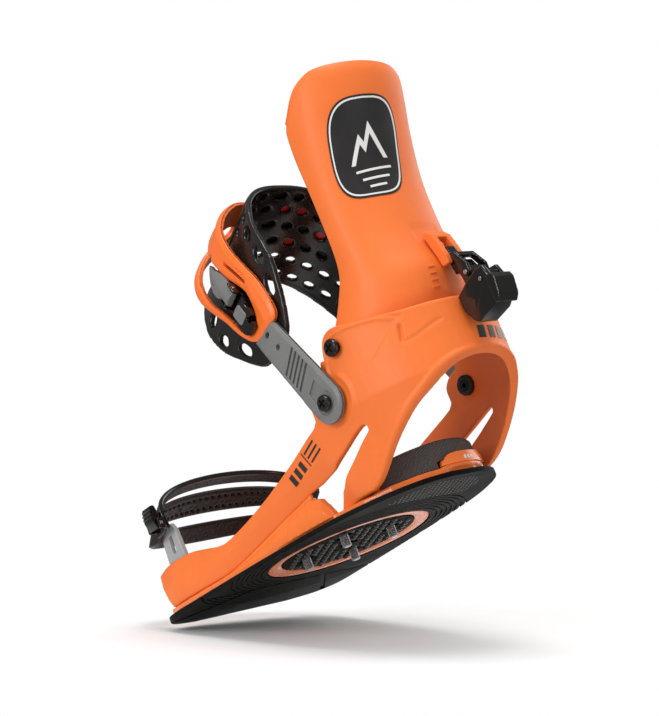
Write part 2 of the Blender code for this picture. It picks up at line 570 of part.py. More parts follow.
def strap_box(along, across, low, high, far_high=None):
    """Block on the strap from low to high outward; far_high is the height at its far end."""
    (a0, a1), (c0, c1) = along, across
    end = high if far_high is None else far_high
    steps = [a0 + (a1 - a0) * i / 4 for i in range(5)]
    rings = []
    for i, a in enumerate(steps):
        top = high + (end - high) * i / 4
        rings.append([arch(a, c0, low), arch(a, c1, low), arch(a, c1, top), arch(a, c0, top)])
    return loft(rings)


def rod_across(along, out, radius, low, high):
    """Round bar across the strap, from low to high."""
    a, b = Vector(arch(along, low, out)), Vector(arch(along, high, out))
    axis = (b - a).normalized()
    u = Vector((1, 0, 0))
    v = axis.cross(u)
    ring = [radius * (u * math.cos(t) + v * math.sin(t)) for t in (2 * math.pi * i / 12 for i in range(12))]
    return loft([[a + r for r in ring], [b + r for r in ring]])


def pinned_lever(name, along, out, half, swing):
    """Empty, pin and bore cutter of a small lever whose axis runs across the strap."""
    axis = pivot(name + "_axis", arch(along, 0, out))
    finish(name + "_pin", rod_across(along, out, 1.1, -half, half), STEEL, 0.3, 1.0, parent=swing)
    bore = finish(name + "_bore", rod_across(along, out, 1.4, -30, 30), BLACK, 1, cutter=True)
    return axis, bore


def cheeks(name, body, along, inner, outer, low, high):
    for k, side in enumerate((1, -1)):
        ear = strap_box(along, (side * inner, side * outer), low, high)
        boolean(body, finish(f"{name}_cheek_{k}", ear, BLACK, 1, cutter=True), "UNION")


def near_adjuster(swing):
    """Clip at the foot of the exo frame with the long adjuster lever pinned between its ears."""
    clip = finish("ankle_clip", strap_box((91, 104), (-6.6, 6.6), 0.5, 3.0), BLACK, 0.4, parent=swing)
    cheeks("clip", clip, (91.5, 99), 5.6, 7, 2.8, 9.8)
    axis, bore = pinned_lever("adjuster_lever", 95, 7.4, 7.4, swing)
    lever = finish("adjuster_lever", strap_box((92.5, 138), (-5.2, 5.2), 5.0, 9.4, 7.4), GREY, 0.5, parent=axis)
    boolean(clip, bore, "DIFFERENCE")
    boolean(lever, bore, "DIFFERENCE")


def far_ratchet(swing):
    """Ratchet that grips the toothed ladder: body, main lever and release tab with their pins."""
    body = finish("ratchet_body", strap_box((258, 300), (-13.2, 13.2), 3.0, 4.8), BLACK, 0.4, parent=swing)
    cheeks("ratchet", body, (261, 299), 11.6, 14, 0.6, 13)
    axis, bore = pinned_lever("ratchet_lever", 292, 10.4, 14.4, swing)
    lever = finish("ratchet_lever", strap_box((248, 295.2), (-11, 11), 9.4, 14.2, 12.4), BLACK, 0.4, parent=axis)
    boolean(body, bore, "DIFFERENCE")
    boolean(lever, bore, "DIFFERENCE")
    axis, bore = pinned_lever("release_tab", 272, 6.6, 14.4, swing)
    tab = finish("release_tab", strap_box((262, 274), (-10.8, 10.8), 5.2, 7.8), GREY, 0.5, parent=axis)
    boolean(body, bore, "DIFFERENCE")
    boolean(tab, bore, "DIFFERENCE")


# ---------------------------------------------------------------- toe strap

def toe_cap_point(across, down, out):
    """Point of the toe cap; across runs from 1 at the near end to -1, down from the rear edge 0 to the front 1."""
    a = across * math.pi / 2
    reach = max(math.cos(a), 0) ** 0.82
    near_y, near_z = -80 - 18 * down, 61 - 13 * down
    mid_y, mid_z = -96 - 40 * down ** 1.1, 87.5 - 32 * down ** 1.6
    lift = (out * 0.5 * reach, out * (0.5 + 0.5 * reach))
    return ((64.6 + out) * math.sin(a), near_y + (mid_y - near_y) * reach - lift[0],
            near_z + (mid_z - near_z) * reach + lift[1])


def toe_strap(swing):
    """Openwork cap of three bands between two connectors that are pinned in the toe boxes."""
    rings = []
    for i in range(21):
        across = 1 - 2 * i / 20
        down = [k / 6 for k in range(7)]
        rings.append([toe_cap_point(across, d, 0) for d in down]
                     + [toe_cap_point(across, d, 2.6) for d in reversed(down)])
    cap = finish("toe_cap", loft(rings), BLACK, 0.6, parent=swing)
    for k, (low, high) in enumerate(((0.24, 0.36), (0.66, 0.80))):
        cells = [0.66 - 0.12 * i for i in range(12)]
        slot = loft([[toe_cap_point(c, low, -4), toe_cap_point(c, high, -4), toe_cap_point(c, high, 7),
                      toe_cap_point(c, low, 7)] for c in cells])
        boolean(cap, finish(f"toe_slot_{k}", slot, BLACK, 1, cutter=True), "DIFFERENCE")
    for side, name in ((1, "near"), (-1, "far")):
        y, z = TOE_PIN
        turns = [math.radians(d) for d in range(180, 361, 20)]
        foot = [(y + 10 * math.cos(a), z + 10 * math.sin(a)) for a in turns]
        outline = foot + [(y + 9.6, 34), (y + 8, 53), (y + 5, 58), (y - 5, 58), (y - 9, 50), (y - 9.8, 34)]
        plate = prism(outline, "X", side * 60.1, side * 63.4)
        link = finish("toe_connector_" + name, plate, GREY, 0.5, parent=swing)
        bore = turned([(2.1, side * 50), (2.1, side * 80)], "X", TOE_PIN, 12)
        boolean(link, finish("toe_link_bore_" + name, bore, BLACK, 1, cutter=True), "DIFFERENCE")
        slot = prism(rounded(box_outline((y - 2, 39), (y + 2, 51)), 1.9), "X", side * 50, side * 80)
        boolean(link, finish("toe_link_slot_" + name, slot, BLACK, 1, cutter=True), "DIFFERENCE")
    # clip with its thumb lever at the near end of the cap
    x, z = TOE_LEVER_PIN
    plate = prism([(-92, z - 7), (-78, z - 4.5), (-80, z + 8.5), (-94, z + 4.5)], "X", 67.8, 70.6)
    clip = finish("toe_clip", plate, BLACK, 0.4, parent=swing)
    for k, (low, high) in enumerate(((-93.6, -91.4), (-81.2, -79))):
        ear = prism([(70.2, z - 3.5), (75, z - 3.5), (75, z + 3.5), (70.2, z + 3.5)], "Y", low, high)
        boolean(clip, finish(f"clip_ear_{k}", ear, BLACK, 1, cutter=True), "UNION")
    bore = finish("toe_lever_bore", turned([(1.4, -97), (1.4, -75)], "Y", TOE_LEVER_PIN, 12), BLACK, 1, cutter=True)
    boolean(clip, bore, "DIFFERENCE")
    finish("toe_lever_pin", turned([(1.1, -94), (1.1, -78.6)], "Y", TOE_LEVER_PIN, 12), STEEL, 0.3, 1.0,
           parent=swing)
    axis = pivot("toe_lever_axis", (x, -86, z))
    thumb = [(-1.9, -0.5), (-1, -2.3), (2, -2.7), (4.4, 4.5), (3.3, 12.5), (-0.6, 12.5), (-1.9, 4.5)]
    lever = finish("toe_lever", prism([(x + a, z + b) for a, b in thumb], "Y", -91, -81.6), BLACK, 0.4, parent=axis)
    boolean(lever, bore, "DIFFERENCE")


sole_pads()
base_tray()
mounting_disc()
chassis()
frame_fasteners()
heel_latch()
heel_footbed()
toe_ramp()
fold_axis = pivot("highback_axis", (0, *HINGE))
highback(fold_axis)
lean_adjuster(fold_axis)
ankle_axis = pivot("ankle_axis", (0, *ANKLE))
ankle_strap(ankle_axis)
near_adjuster(ankle_axis)
far_ratchet(ankle_axis)
toe_strap(pivot("toe_axis", (0, *TOE_PIN)))
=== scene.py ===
"""Looks of the snowboard strap binding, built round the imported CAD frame.

Millimetres are written as plain numbers and multiplied by MM. -Y is the toe, +X the side of the strap adjuster.
"""

import math

import bmesh
import bpy
import numpy as np
from mathutils import Matrix, Vector


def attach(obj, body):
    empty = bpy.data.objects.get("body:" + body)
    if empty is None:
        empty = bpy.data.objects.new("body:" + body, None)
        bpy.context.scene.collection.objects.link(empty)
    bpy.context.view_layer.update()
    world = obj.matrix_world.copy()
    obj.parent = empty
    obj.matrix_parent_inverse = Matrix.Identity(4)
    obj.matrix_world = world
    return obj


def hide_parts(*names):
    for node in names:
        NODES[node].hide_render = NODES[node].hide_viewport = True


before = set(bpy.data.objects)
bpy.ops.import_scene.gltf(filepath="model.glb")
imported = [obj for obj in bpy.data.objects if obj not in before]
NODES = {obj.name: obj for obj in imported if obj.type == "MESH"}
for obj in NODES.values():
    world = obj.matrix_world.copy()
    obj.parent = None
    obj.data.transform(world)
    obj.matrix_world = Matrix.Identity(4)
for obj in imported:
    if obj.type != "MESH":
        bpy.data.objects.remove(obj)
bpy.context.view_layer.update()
MM = 0.001
VOXEL = 0.9          # remesh step of the moulded pieces, mm

# the same driving positions as the CAD, mm
HOOP_Y = 95.0
HINGE = (110.0, 89.0)
ANKLE = (94.0, 62.0)
TOE_PIN = (-89.0, 24.0)
SCREW = 20.0                           # half the spacing of the four board screws
STRAP_LEAN = math.radians(116)
ARCH_END = 380.0                       # length of the ankle strap from bolt to bolt


# ------------------------ node materials

class Nodes:
    """Short hand for building a node tree."""

    def __init__(self, owner):
        owner.use_nodes = True
        self.tree = owner.node_tree
        self.shader = self.tree.nodes.get("Principled BSDF")

    def new(self, kind, **inputs):
        node = self.tree.nodes.new(kind)
        for name, value in inputs.items():
            self.plug(node, name, value)
        return node

    def plug(self, node, name, value):
        """Links or sets an input, which is found by name or by index."""
        socket = node.inputs[name]
        if isinstance(value, bpy.types.NodeSocket):
            self.tree.links.new(value, socket)
        elif isinstance(value, bpy.types.Node):
            self.tree.links.new(value.outputs[0], socket)
        else:
            socket.default_value = value

    def link(self, value, name):
        self.plug(self.shader, name, value)

    def math(self, operation, a, b):
        node = self.tree.nodes.new("ShaderNodeMath")
        node.operation = operation
        self.plug(node, 0, a)
        self.plug(node, 1, b)
        return node

    def spread(self, value, low, high, to_low, to_high):
        node = self.tree.nodes.new("ShaderNodeMapRange")
        for name, number in (("From Min", low), ("From Max", high), ("To Min", to_low), ("To Max", to_high)):
            node.inputs[name].default_value = number
        self.plug(node, "Value", value)
        return node

    def mix(self, factor, a, b):
        node = self.tree.nodes.new("ShaderNodeMix")
        node.data_type = "RGBA"
        for index, value in ((0, factor), (6, a), (7, b)):
            self.plug(node, index, value)
        return node.outputs[2]


def tint(colour, factor):
    """Colour made lighter or darker, as RGBA."""
    return (*[min(1.0, c * factor) for c in colour], 1.0)


def material(name, colour, roughness, metallic=0.0, grain=1400.0, bump=0.25, tone=0.07, fleck=None, wear=0.0,
             specular=0.5, coat=0.0, tread=None):
    """Moulded or metal surface: cloudy tone, fine grain in the bump, uneven gloss, lighter worn edges, and painted
    shade in the low parts of a tread.
    """
    mat = bpy.data.materials.new(name)
    mat.diffuse_color = (*colour, 1.0)
    n = Nodes(mat)
    place = n.new("ShaderNodeTexCoord").outputs["Object"]
    cloud = n.new("ShaderNodeTexNoise", Vector=place, Scale=45.0, Detail=4.0, Roughness=0.6)
    fine = n.new("ShaderNodeTexNoise", Vector=place, Scale=grain, Detail=3.0, Roughness=0.6)
    base = n.mix(n.spread(cloud, 0.3, 0.7, 0.0, 1.0), tint(colour, 1 - tone), tint(colour, 1 + tone))
    base = n.mix(n.spread(fine, 0.35, 0.65, 0.0, 0.35), base, tint(colour, 1 - 2.2 * tone))
    if fleck:
        sparkle = n.new("ShaderNodeTexVoronoi", Vector=place, Scale=2600.0)
        base = n.mix(n.spread(sparkle, 0.05, 0.22, 0.8, 0.0), base, (*fleck, 1.0))
    if wear:
        edge = n.new("ShaderNodeNewGeometry").outputs["Pointiness"]
        patchy = n.math("MULTIPLY", n.spread(edge, 0.52, 0.60, 0.0, wear), n.spread(cloud, 0.35, 0.6, 0.3, 1.0))
        base = n.mix(patchy, base, tint(colour, 1.6))
    height = fine
    if tread:
        height = tread(n, place, fine)
        # painted shade: the low parts of the tread pattern are darkened in the colour, where shade would fall
        base = n.mix(n.spread(height, 0.3, 1.2, 0.75, 0.0), base, tint(colour, 0.3))
    n.link(base, "Base Color")
    rough = n.math("ADD", n.spread(cloud, 0.3, 0.7, roughness - 0.06, roughness + 0.06),
                   n.spread(fine, 0.3, 0.7, -0.05, 0.05))
    n.link(rough, "Roughness")
    shape = n.new("ShaderNodeBump", Height=height, Strength=bump, Distance=0.0002)
    n.link(shape, "Normal")
    n.shader.inputs["Metallic"].default_value = metallic
    n.shader.inputs["Specular IOR Level"].default_value = specular
    n.shader.inputs["Coat Weight"].default_value = coat
    n.shader.inputs["Coat Roughness"].default_value = 0.12
    return mat


def knit(n, place, fine):
    """Diagonal dotted mesh pressed into rubber or soft plastic."""
    dots = n.new("ShaderNodeTexVoronoi", Vector=place, Scale=520.0)
    return n.math("ADD", n.spread(dots, 0.2, 0.6, 0.0, 1.0), n.math("MULTIPLY", fine, 0.3))


def hatching(n, place, fine):
    """Scratchy moulded hatching of the foam sidewall."""
    turn = n.new("ShaderNodeMapping", Vector=place, Rotation=(0.5, 0.3, 0.6), Scale=(1.0, 1.0, 3.0))
    lines = n.new("ShaderNodeTexWave", Vector=turn, Scale=150.0, Distortion=5.0, Detail=1.5)
    return n.math("ADD", lines, n.math("MULTIPLY", fine, 0.6))


ORANGE = material("orange_nylon", (0.88, 0.180, 0.030), 0.50, tone=0.035, bump=0.18, wear=0.35, specular=0.35)
GLOSS_ORANGE = material("gloss_orange_nylon", (0.94, 0.20, 0.032), 0.24, tone=0.03, bump=0.06, wear=0.2,
                        specular=0.5, coat=0.25)
FRAME_ORANGE = material("frame_orange_nylon", (0.92, 0.165, 0.02), 0.36, tone=0.03, bump=0.08, wear=0.3)
BLACK = material("black_nylon", (0.009, 0.007, 0.006), 0.42, tone=0.25, bump=0.12, wear=0.3, specular=0.3)
GLOSS_BLACK = material("gloss_black_nylon", (0.006, 0.005, 0.0045), 0.14, tone=0.2, bump=0.05, coat=0.3)
DISC_BLACK = material("disc_black", (0.007, 0.006, 0.0055), 0.62, tone=0.25, bump=0.12, specular=0.07)
PAD_BLACK = material("pad_black", (0.010, 0.008, 0.007), 0.28, tone=0.2, bump=0.22, grain=900.0, specular=0.55)
MESH_BLACK = material("mesh_black", (0.020, 0.012, 0.009), 0.40, tone=0.2, bump=0.75, tread=knit)
GREY = material("grey_nylon", (0.175, 0.175, 0.172), 0.46, tone=0.10, bump=0.22, fleck=(0.6, 0.6, 0.6), wear=0.5)
SILVER = material("silver_grey_nylon", (0.36, 0.365, 0.37), 0.42, tone=0.06, bump=0.2, fleck=(0.7, 0.7, 0.7),
                  wear=0.3)
FOAM = material("grey_foam", (0.105, 0.094, 0.088), 0.60, tone=0.2, bump=0.9, grain=700.0, tread=hatching)
LINER = material("liner_foam", (0.030, 0.030, 0.032), 0.75, tone=0.2, bump=0.5, grain=800.0)
SOLE = material("sole_rubber", (0.005, 0.0045, 0.004), 0.62, tone=0.3, bump=0.35, grain=900.0, specular=0.12)
STEEL = material("steel", (0.55, 0.55, 0.55), 0.24, metallic=1.0, tone=0.1, bump=0.08)
DARK_STEEL = material("dark_steel", (0.06, 0.058, 0.055), 0.28, metallic=0.85, tone=0.2, bump=0.1, wear=0.4)
WHITE_INK = material("white_ink", (0.78, 0.78, 0.76), 0.45, tone=0.03, bump=0.08)
BLACK_INK = material("black_ink", (0.022, 0.020, 0.020), 0.42, tone=0.12, bump=0.08)
RED = material("red_nylon", (0.62, 0.018, 0.015), 0.36, tone=0.08, bump=0.08)

SLOT_OF = {"orange_nylon": "orange", "frame_orange_nylon": "orange", "gloss_orange_nylon": "gloss_orange",
           "black_nylon": "black", "disc_black": "black", "gloss_black_nylon": "black", "pad_black": "black",
           "mesh_black": "black", "black_ink": "black", "red_nylon": "black", "grey_nylon": "grey",
           "silver_grey_nylon": "grey", "white_ink": "grey", "grey_foam": "foam", "liner_foam": "foam",
           "sole_rubber": "sole_rubber", "steel": "steel", "dark_steel": "black_steel"}


# ------------------------ mesh helpers

def table(value, rows, column):
    """Column of a row table, interpolated at value of column 0."""
    if value <= rows[0][0]:
        return rows[0][column]
    for low, high in zip(rows, rows[1:]):
        if value <= high[0]:
            t = (value - low[0]) / (high[0] - low[0])
            return low[column] + t * (high[column] - low[column])
    return rows[-1][column]


def smooth_step(value, low, high):
    """Eases from 0 at low to 1 at high."""
    t = min(1.0, max(0.0, (value - low) / (high - low)))
    return t * t * (3 - 2 * t)


def curve_through(points, per_span=4, closed=False):
    """Catmull-Rom curve through points of any dimension."""
    pts = [Vector(p) for p in points]
    count = len(pts)
    spans = count if closed else count - 1
    out = []
    for k in range(spans):
        if closed:
            a, b, c, d = (pts[(k + j) % count] for j in (-1, 0, 1, 2))
        else:
            b, c = pts[k], pts[k + 1]
            a = pts[k - 1] if k else 2 * b - c
            d = pts[k + 2] if k + 2 < count else 2 * c - b
        for i in range(per_span):
            t = i / per_span
            out.append(0.5 * (2 * b + (c - a) * t + (2 * a - 5 * b + 4 * c - d) * t ** 2
                              + (3 * b - a - 3 * c + d) * t ** 3))
    if not closed:
        out.append(pts[-1])
    return [tuple(p) for p in out]


def loft(rings, closed=False, caps=True):
    """Skin through rings of points in mm."""
    bm = bmesh.new()
    rows = [[bm.verts.new(Vector(p) * MM) for p in ring] for ring in rings]
    count = len(rings[0])
    for low, high in list(zip(rows, rows[1:])) + ([(rows[-1], rows[0])] if closed else []):
        for i in range(count):
            j = (i + 1) % count
            bm.faces.new((low[i], low[j], high[j], high[i]))
    if caps and not closed:
        bm.faces.new(rows[0])
        bm.faces.new(rows[-1])
    return bm


def place(axis, flat, depth):
    """Point with the flat coordinates across the axis and the depth along it."""
    a, b = flat
    return {"X": (depth, a, b), "Y": (a, depth, b), "Z": (a, b, depth)}[axis]


def prism(outline, axis, low, high):
    """Outline pushed along an axis from low to high."""
    return loft([[place(axis, p, low) for p in outline], [place(axis, p, high) for p in outline]])


def turns(count):
    """Angles of a full turn in equal steps."""
    return [2 * math.pi * i / count for i in range(count)]


def circle(centre, radius, count):
    return [(centre[0] + radius * math.cos(t), centre[1] + radius * math.sin(t)) for t in turns(count)]


def arc(radius, start, stop, step, flip=1):
    """Arc round the origin from start to stop degrees; flip -1 mirrors it in the first coordinate."""
    angles = map(math.radians, range(start, stop, step))
    return [(flip * radius * math.cos(t), radius * math.sin(t)) for t in angles]


def turned(profile, axis, centre, count=40):
    """Solid of revolution; the profile is (radius, depth)."""
    return loft([[place(axis, p, d) for p in circle(centre, r, count)] for r, d in profile])


def rounded(outline, radius, steps=4):
    """Outline with its corners rounded."""
    out = []
    count = len(outline)
    for i in range(count):
        before, here, after = (Vector(outline[i - 1]), Vector(outline[i]), Vector(outline[(i + 1) % count]))
        r = min(radius, (before - here).length * 0.45, (after - here).length * 0.45)
        a = here + (before - here).normalized() * r
        b = here + (after - here).normalized() * r
        for k in range(steps + 1):
            t = k / steps
            p = a * (1 - t) ** 2 + here * 2 * t * (1 - t) + b * t ** 2
            out.append((p.x, p.y))
    return out


def box_outline(low, high, radius=0.0):
    """Rectangle between two corners."""
    outline = [(low[0], low[1]), (high[0], low[1]), (high[0], high[1]), (low[0], high[1])]
    return rounded(outline, radius) if radius else outline


def to_object(name, bm):
    """New object in the scene from a mesh, with its faces turned outwards."""
    bmesh.ops.recalc_face_normals(bm, faces=bm.faces)
    mesh = bpy.data.meshes.new(name)
    bm.to_mesh(mesh)
    bm.free()
    obj = bpy.data.objects.new(name, mesh)
    bpy.context.scene.collection.objects.link(obj)
    return obj


def merged(meshes):
    """One bmesh of several separate solids."""
    out = bmesh.new()
    for bm in meshes:
        bmesh.ops.recalc_face_normals(bm, faces=bm.faces)
        part = bpy.data.meshes.new("part")
        bm.to_mesh(part)
        bm.free()
        out.from_mesh(part)
        bpy.data.meshes.remove(part)
    return out


def cut(obj, bm, operation="DIFFERENCE"):
    """Boolean with a tool mesh that is thrown away afterwards."""
    tool = to_object("tool", bm)
    mod = obj.modifiers.new("cut", "BOOLEAN")
    mod.operation = operation
    mod.solver = "EXACT"
    mod.object = tool
    bake(obj)
    bpy.data.objects.remove(tool, do_unlink=True)


def bake(obj):
    """Applies the modifiers to the mesh."""
    graph = bpy.context.evaluated_depsgraph_get()
    mesh = bpy.data.meshes.new_from_object(obj.evaluated_get(graph))
    old = obj.data
    obj.modifiers.clear()
    obj.data = mesh
    bpy.data.meshes.remove(old)


def add_smooth(obj, rounds):
    """Plain smoothing."""
    smooth = obj.modifiers.new("smooth", "SMOOTH")
    smooth.factor = 0.5
    smooth.iterations = rounds


def add_remesh(obj, voxel, rounds):
    """Voxel remesh and smoothing, which rounds every edge as moulding does."""
    remesh = obj.modifiers.new("remesh", "REMESH")
    remesh.mode = "VOXEL"
    remesh.voxel_size = voxel * MM
    add_smooth(obj, rounds)


def add_bevel(obj, width, segments, angle=30):
    """Rounds the edges that are sharper than the angle in degrees."""
    bevel = obj.modifiers.new("bevel", "BEVEL")
    bevel.width = width * MM
    bevel.segments = segments
    bevel.limit_method = "ANGLE"
    bevel.angle_limit = math.radians(angle)


def soften(obj, voxel, rounds):
    """Remesh and smoothing, applied."""
    add_remesh(obj, voxel, rounds)
    bake(obj)


def dress(obj, mat, body, replaced=(), slot=None, sharp=None):
    """Material, body and replaced CAD nodes of a new piece; the slot is worked out but not kept."""
    obj.data.materials.clear()
    obj.data.materials.append(mat)
    obj.data.shade_smooth()
    if sharp:
        obj.data.set_sharp_from_angle(angle=math.radians(sharp))
    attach(obj, body)
    slot or SLOT_OF[mat.name.split(".")[0]]
    if replaced:
        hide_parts(*replaced)


def dress_node(name, mat, bevel=0.0, voxel=0.0, rounds=3):
    """CAD node kept as it is, with a better material and moulded edges."""
    obj = NODES[name]
    obj.data.materials.clear()
    obj.data.materials.append(mat)
    weld = obj.modifiers.new("weld", "WELD")
    weld.merge_threshold = 0.00002
    if voxel:
        add_remesh(obj, voxel, rounds)
    elif bevel:
        add_bevel(obj, bevel, 3, 32)
    obj.data.shade_smooth()


def line_distance(points, line):
    """Distance of every point to an open polyline."""
    best = np.full(len(points), 1e9)
    for (ax, ay), (bx, by) in zip(line, line[1:]):
        ex, ey = bx - ax, by - ay
        t = np.clip(((points[:, 0] - ax) * ex + (points[:, 1] - ay) * ey) / (ex * ex + ey * ey), 0, 1)
        best = np.minimum(best, np.hypot(points[:, 0] - ax - ex * t, points[:, 1] - ay - ey * t))
    return best


def inside_depth(points, outline, with_direction=False):
    """Distance of every point to the outline, negative outside it, and if asked the inward direction."""
    x, y = points[:, 0], points[:, 1]
    best, inside = np.full(len(points), 1e9), np.zeros(len(points), bool)
    inward = np.zeros((len(points), 2))
    edges = list(zip(outline, outline[1:] + outline[:1]))
    turn = math.copysign(1, sum(a[0] * b[1] - a[1] * b[0] for a, b in edges))
    for (ax, ay), (bx, by) in edges:
        ex, ey = bx - ax, by - ay
        length = math.hypot(ex, ey)
        if length < 1e-6:
            continue
        t = np.clip(((x - ax) * ex + (y - ay) * ey) / length ** 2, 0, 1)
        gap = np.hypot(x - ax - ex * t, y - ay - ey * t)
        inward[gap < best] = (-ey / length * turn, ex / length * turn)
        best = np.minimum(best, gap)
        if ay != by:
            inside ^= ((ay > y) != (by > y)) & (x < (bx - ax) * (y - ay) / (by - ay) + ax)
    depth = np.where(inside, best, -best)
    return (depth, inward) if with_direction else depth


def vertex_array(obj):
    """Vertex places in mm and vertex normals, as arrays."""
    count = len(obj.data.vertices)
    co, normal = np.empty(count * 3, np.float32), np.empty(count * 3, np.float32)
    obj.data.vertices.foreach_get("co", co)
    obj.data.vertices.foreach_get("normal", normal)
    return co.reshape(-1, 3).astype(float) / MM, normal.reshape(-1, 3).astype(float)


def set_vertices(obj, points):
    """Moves the vertices to places in mm."""
    obj.data.vertices.foreach_set("co", (np.asarray(points) * MM).astype(np.float32).ravel())
    obj.data.update()


def ramp(values, low, high):
    """Smooth step of an array."""
    t = np.clip((values - low) / (high - low), 0, 1)
    return t * t * (3 - 2 * t)


def hat(values, width):
    """1 where values are 0, falling to 0 at the width on both sides."""
    return np.clip(1 - np.abs(values) / width, 0, None)


# ------------------------ chassis

WALL_ROWS = [(-130, 71.8, 69.8), (-115, 71.8, 68.8), (-75, 70.3, 67.3), (-45, 67.8, 64.8), (-15, 62.8, 59.8),
             (10, 56.8, 58.8), (40, 48.8, 59.3), (65, 46.8, 59.8), (HOOP_Y, 46.8, 59.8)]
LEAN_TOP = 53.0                 # height where the lean of the wall ends
FOOT_A, FOOT_B = 46.8, 60       # half axes of the hoop at its foot
FLARE_A, FLARE_B = 13, 11       # and what they gain up to LEAN_TOP
HOOP_WALL = 5.0
WALL_HEIGHT = 112               # blank wall before its outline is cut
ARM_UNDER = [(-103, 7.5), (-45, 7.5), (-27, 10.8), (-13, 14.2), (10, 20), (39, 26), (52, 27)]
WINDOW_EDGE = [(68, 30), (87, 36), (103, 41), (108, 40.5), (108, 37.5), (100, 34), (89, 29), (75, 23), (63, 17),
               (56, 8.5), (54, 7.5)]
ARCH_EDGE = [(88, 7.5), (96, 10), (104, 14.5), (111, 19.5), (119, 25.5), (128, 32), (137, 38.5), (146, 44),
             (154, 50), (161, 55), (171, 59)]
HOOP_TOP = [(171, 91), (150, 92), (136, 95), (123, 98), (112, 100.5), (106, 99), (102, 95), (99.5, 88), (97.5, 80),
            (92, 76.5), (82, 74), (75, 68), (74.5, 58.5)]
WALL_THICKNESS = [(-57, 15.0), (-39, 7.0), (5, HOOP_WALL)]
ARM_TOP = [(71, 55.5), (47, 48.5), (21, 41), (-6, 33), (-29, 27), (-41, 26), (-56, 29.5), (-73, 33.5), (-100, 34),
           (-112, 31.5)]


def wall_station(value, on_hoop, inset):
    """Upright row of points of the side wall at y, or of the hoop at an angle in radians."""
    if on_hoop:
        c, s = math.cos(value), math.sin(value)
        foot = ((FOOT_A - inset) * c, HOOP_Y + (FOOT_B - inset) * s, 0)
        top = ((FOOT_A + FLARE_A - inset) * c, HOOP_Y + (FOOT_B + FLARE_B - inset) * s, LEAN_TOP)
    else:
        foot = (table(value, WALL_ROWS, 1) - inset, value, 0)
        top = (table(value, WALL_ROWS, 2) - inset, value, LEAN_TOP)
    middle = tuple((a + b) / 2 for a, b in zip(foot, top))
    return [foot, middle, top, (top[0], top[1], 80), (top[0], top[1], WALL_HEIGHT)]


def bent_wall():
    """Both side walls and the hoop as one strip."""
    rings = []
    for y in (-130, -122, -115, -108, -101, -95, -88, -81, -75, -69, -63, -57, -51, -45, -38, -30, -22, -15, -8,
              -2, 4, 10, 17, 25, 32, 40, 48, 55, 62, 70, 78, 86):
        rings.append(wall_station(y, False, 0) + wall_station(y, False, table(y, WALL_THICKNESS, 1))[::-1])
    for degrees in range(0, 91, 5):
        a = math.radians(degrees)
        rings.append(wall_station(a, True, 0) + wall_station(a, True, HOOP_WALL)[::-1])
    return loft(rings + [[(-x, y, z) for x, y, z in ring] for ring in rings[-2::-1]])


def chassis():
    """Side walls, arms and heel hoop in one moulding, cut out of the bent wall."""
    body = to_object("chassis_moulding", bent_wall())
    outline = ARM_UNDER + curve_through(WINDOW_EDGE[:5], 3) + curve_through(WINDOW_EDGE[5:9], 3) + WINDOW_EDGE[9:]
    for edge in (ARCH_EDGE, HOOP_TOP, ARM_TOP):
        outline += curve_through(edge, 3)
    cut(body, prism(outline, "X", -90, 90), "INTERSECT")
    drop = [(ANKLE[0] + y, ANKLE[1] + z) for y, z in arc(8.6, 150, 391, 15) + [(5, 24), (-1, 26)]]
    extra, holes = [], []
    for side in (1, -1):
        # feet on the tray, and a drop-shaped washer boss inside the wall round the ankle bolt
        for foot in ([(34.5, 64), (46.5, 64), (45.5, 85), (34.5, 85)],
                     [(44, -101), (61, -101), (61, -71), (44, -71)]):
            extra.append(prism([(side * x, y) for x, y in foot], "Z", 7.6, 10.4))
        extra.append(prism(drop, "X", side * 53.6, side * 57))
        holes.append(turned([(3.1, side * 40), (3.1, side * 80)], "X", HINGE))
        holes.append(turned([(3.1, side * 50.0), (3.1, side * 80)], "X", ANKLE))
        # slot of the toe connector
        holes.append(prism([(-101, 13), (-77, 13), (-77, 24), (-71, 60), (-111, 60), (-101, 24)], "X",
                           side * 59.4, side * 64.2))
        holes.append(turned([(2.3, side * 50), (2.3, side * 67)], "X", TOE_PIN))
    for bm in extra:
        cut(body, bm, "UNION")
    cut(body, merged(holes))
    soften(body, 0.9, 5)
    for _ in range(3):
        true_edges(body, outline)
    shape_chassis(body)
    add_smooth(body, 1)
    bake(body)
    dress(body, ORANGE, "base", ["chassis"])


def wall_depth(p):
    """Depth of every point under the outer face of the wall, and the outward direction there."""
    x, y, z = p.T
    share = np.clip(z / LEAN_TOP, 0, 1)
    stations, feet, tops = zip(*WALL_ROWS)
    foot, top = np.interp(y, stations, feet), np.interp(y, stations, tops)
    a, b = FOOT_A + FLARE_A * share, FOOT_B + FLARE_B * share
    hoop = y > HOOP_Y
    flat = np.stack([np.sign(x), np.zeros_like(x), np.zeros_like(x)], 1)
    curved = np.stack([x / a ** 2, (y - HOOP_Y) / b ** 2, np.zeros_like(x)], 1)
    slope = np.maximum(np.linalg.norm(curved, axis=1), 1e-9)
    radial = np.hypot(x / a, (y - HOOP_Y) / b)
    depth = np.where(hoop, (1 - radial ** 2) * radial / (2 * slope), foot + (top - foot) * share - np.abs(x))
    return depth, np.where(hoop[:, None], curved / slope[:, None], flat)


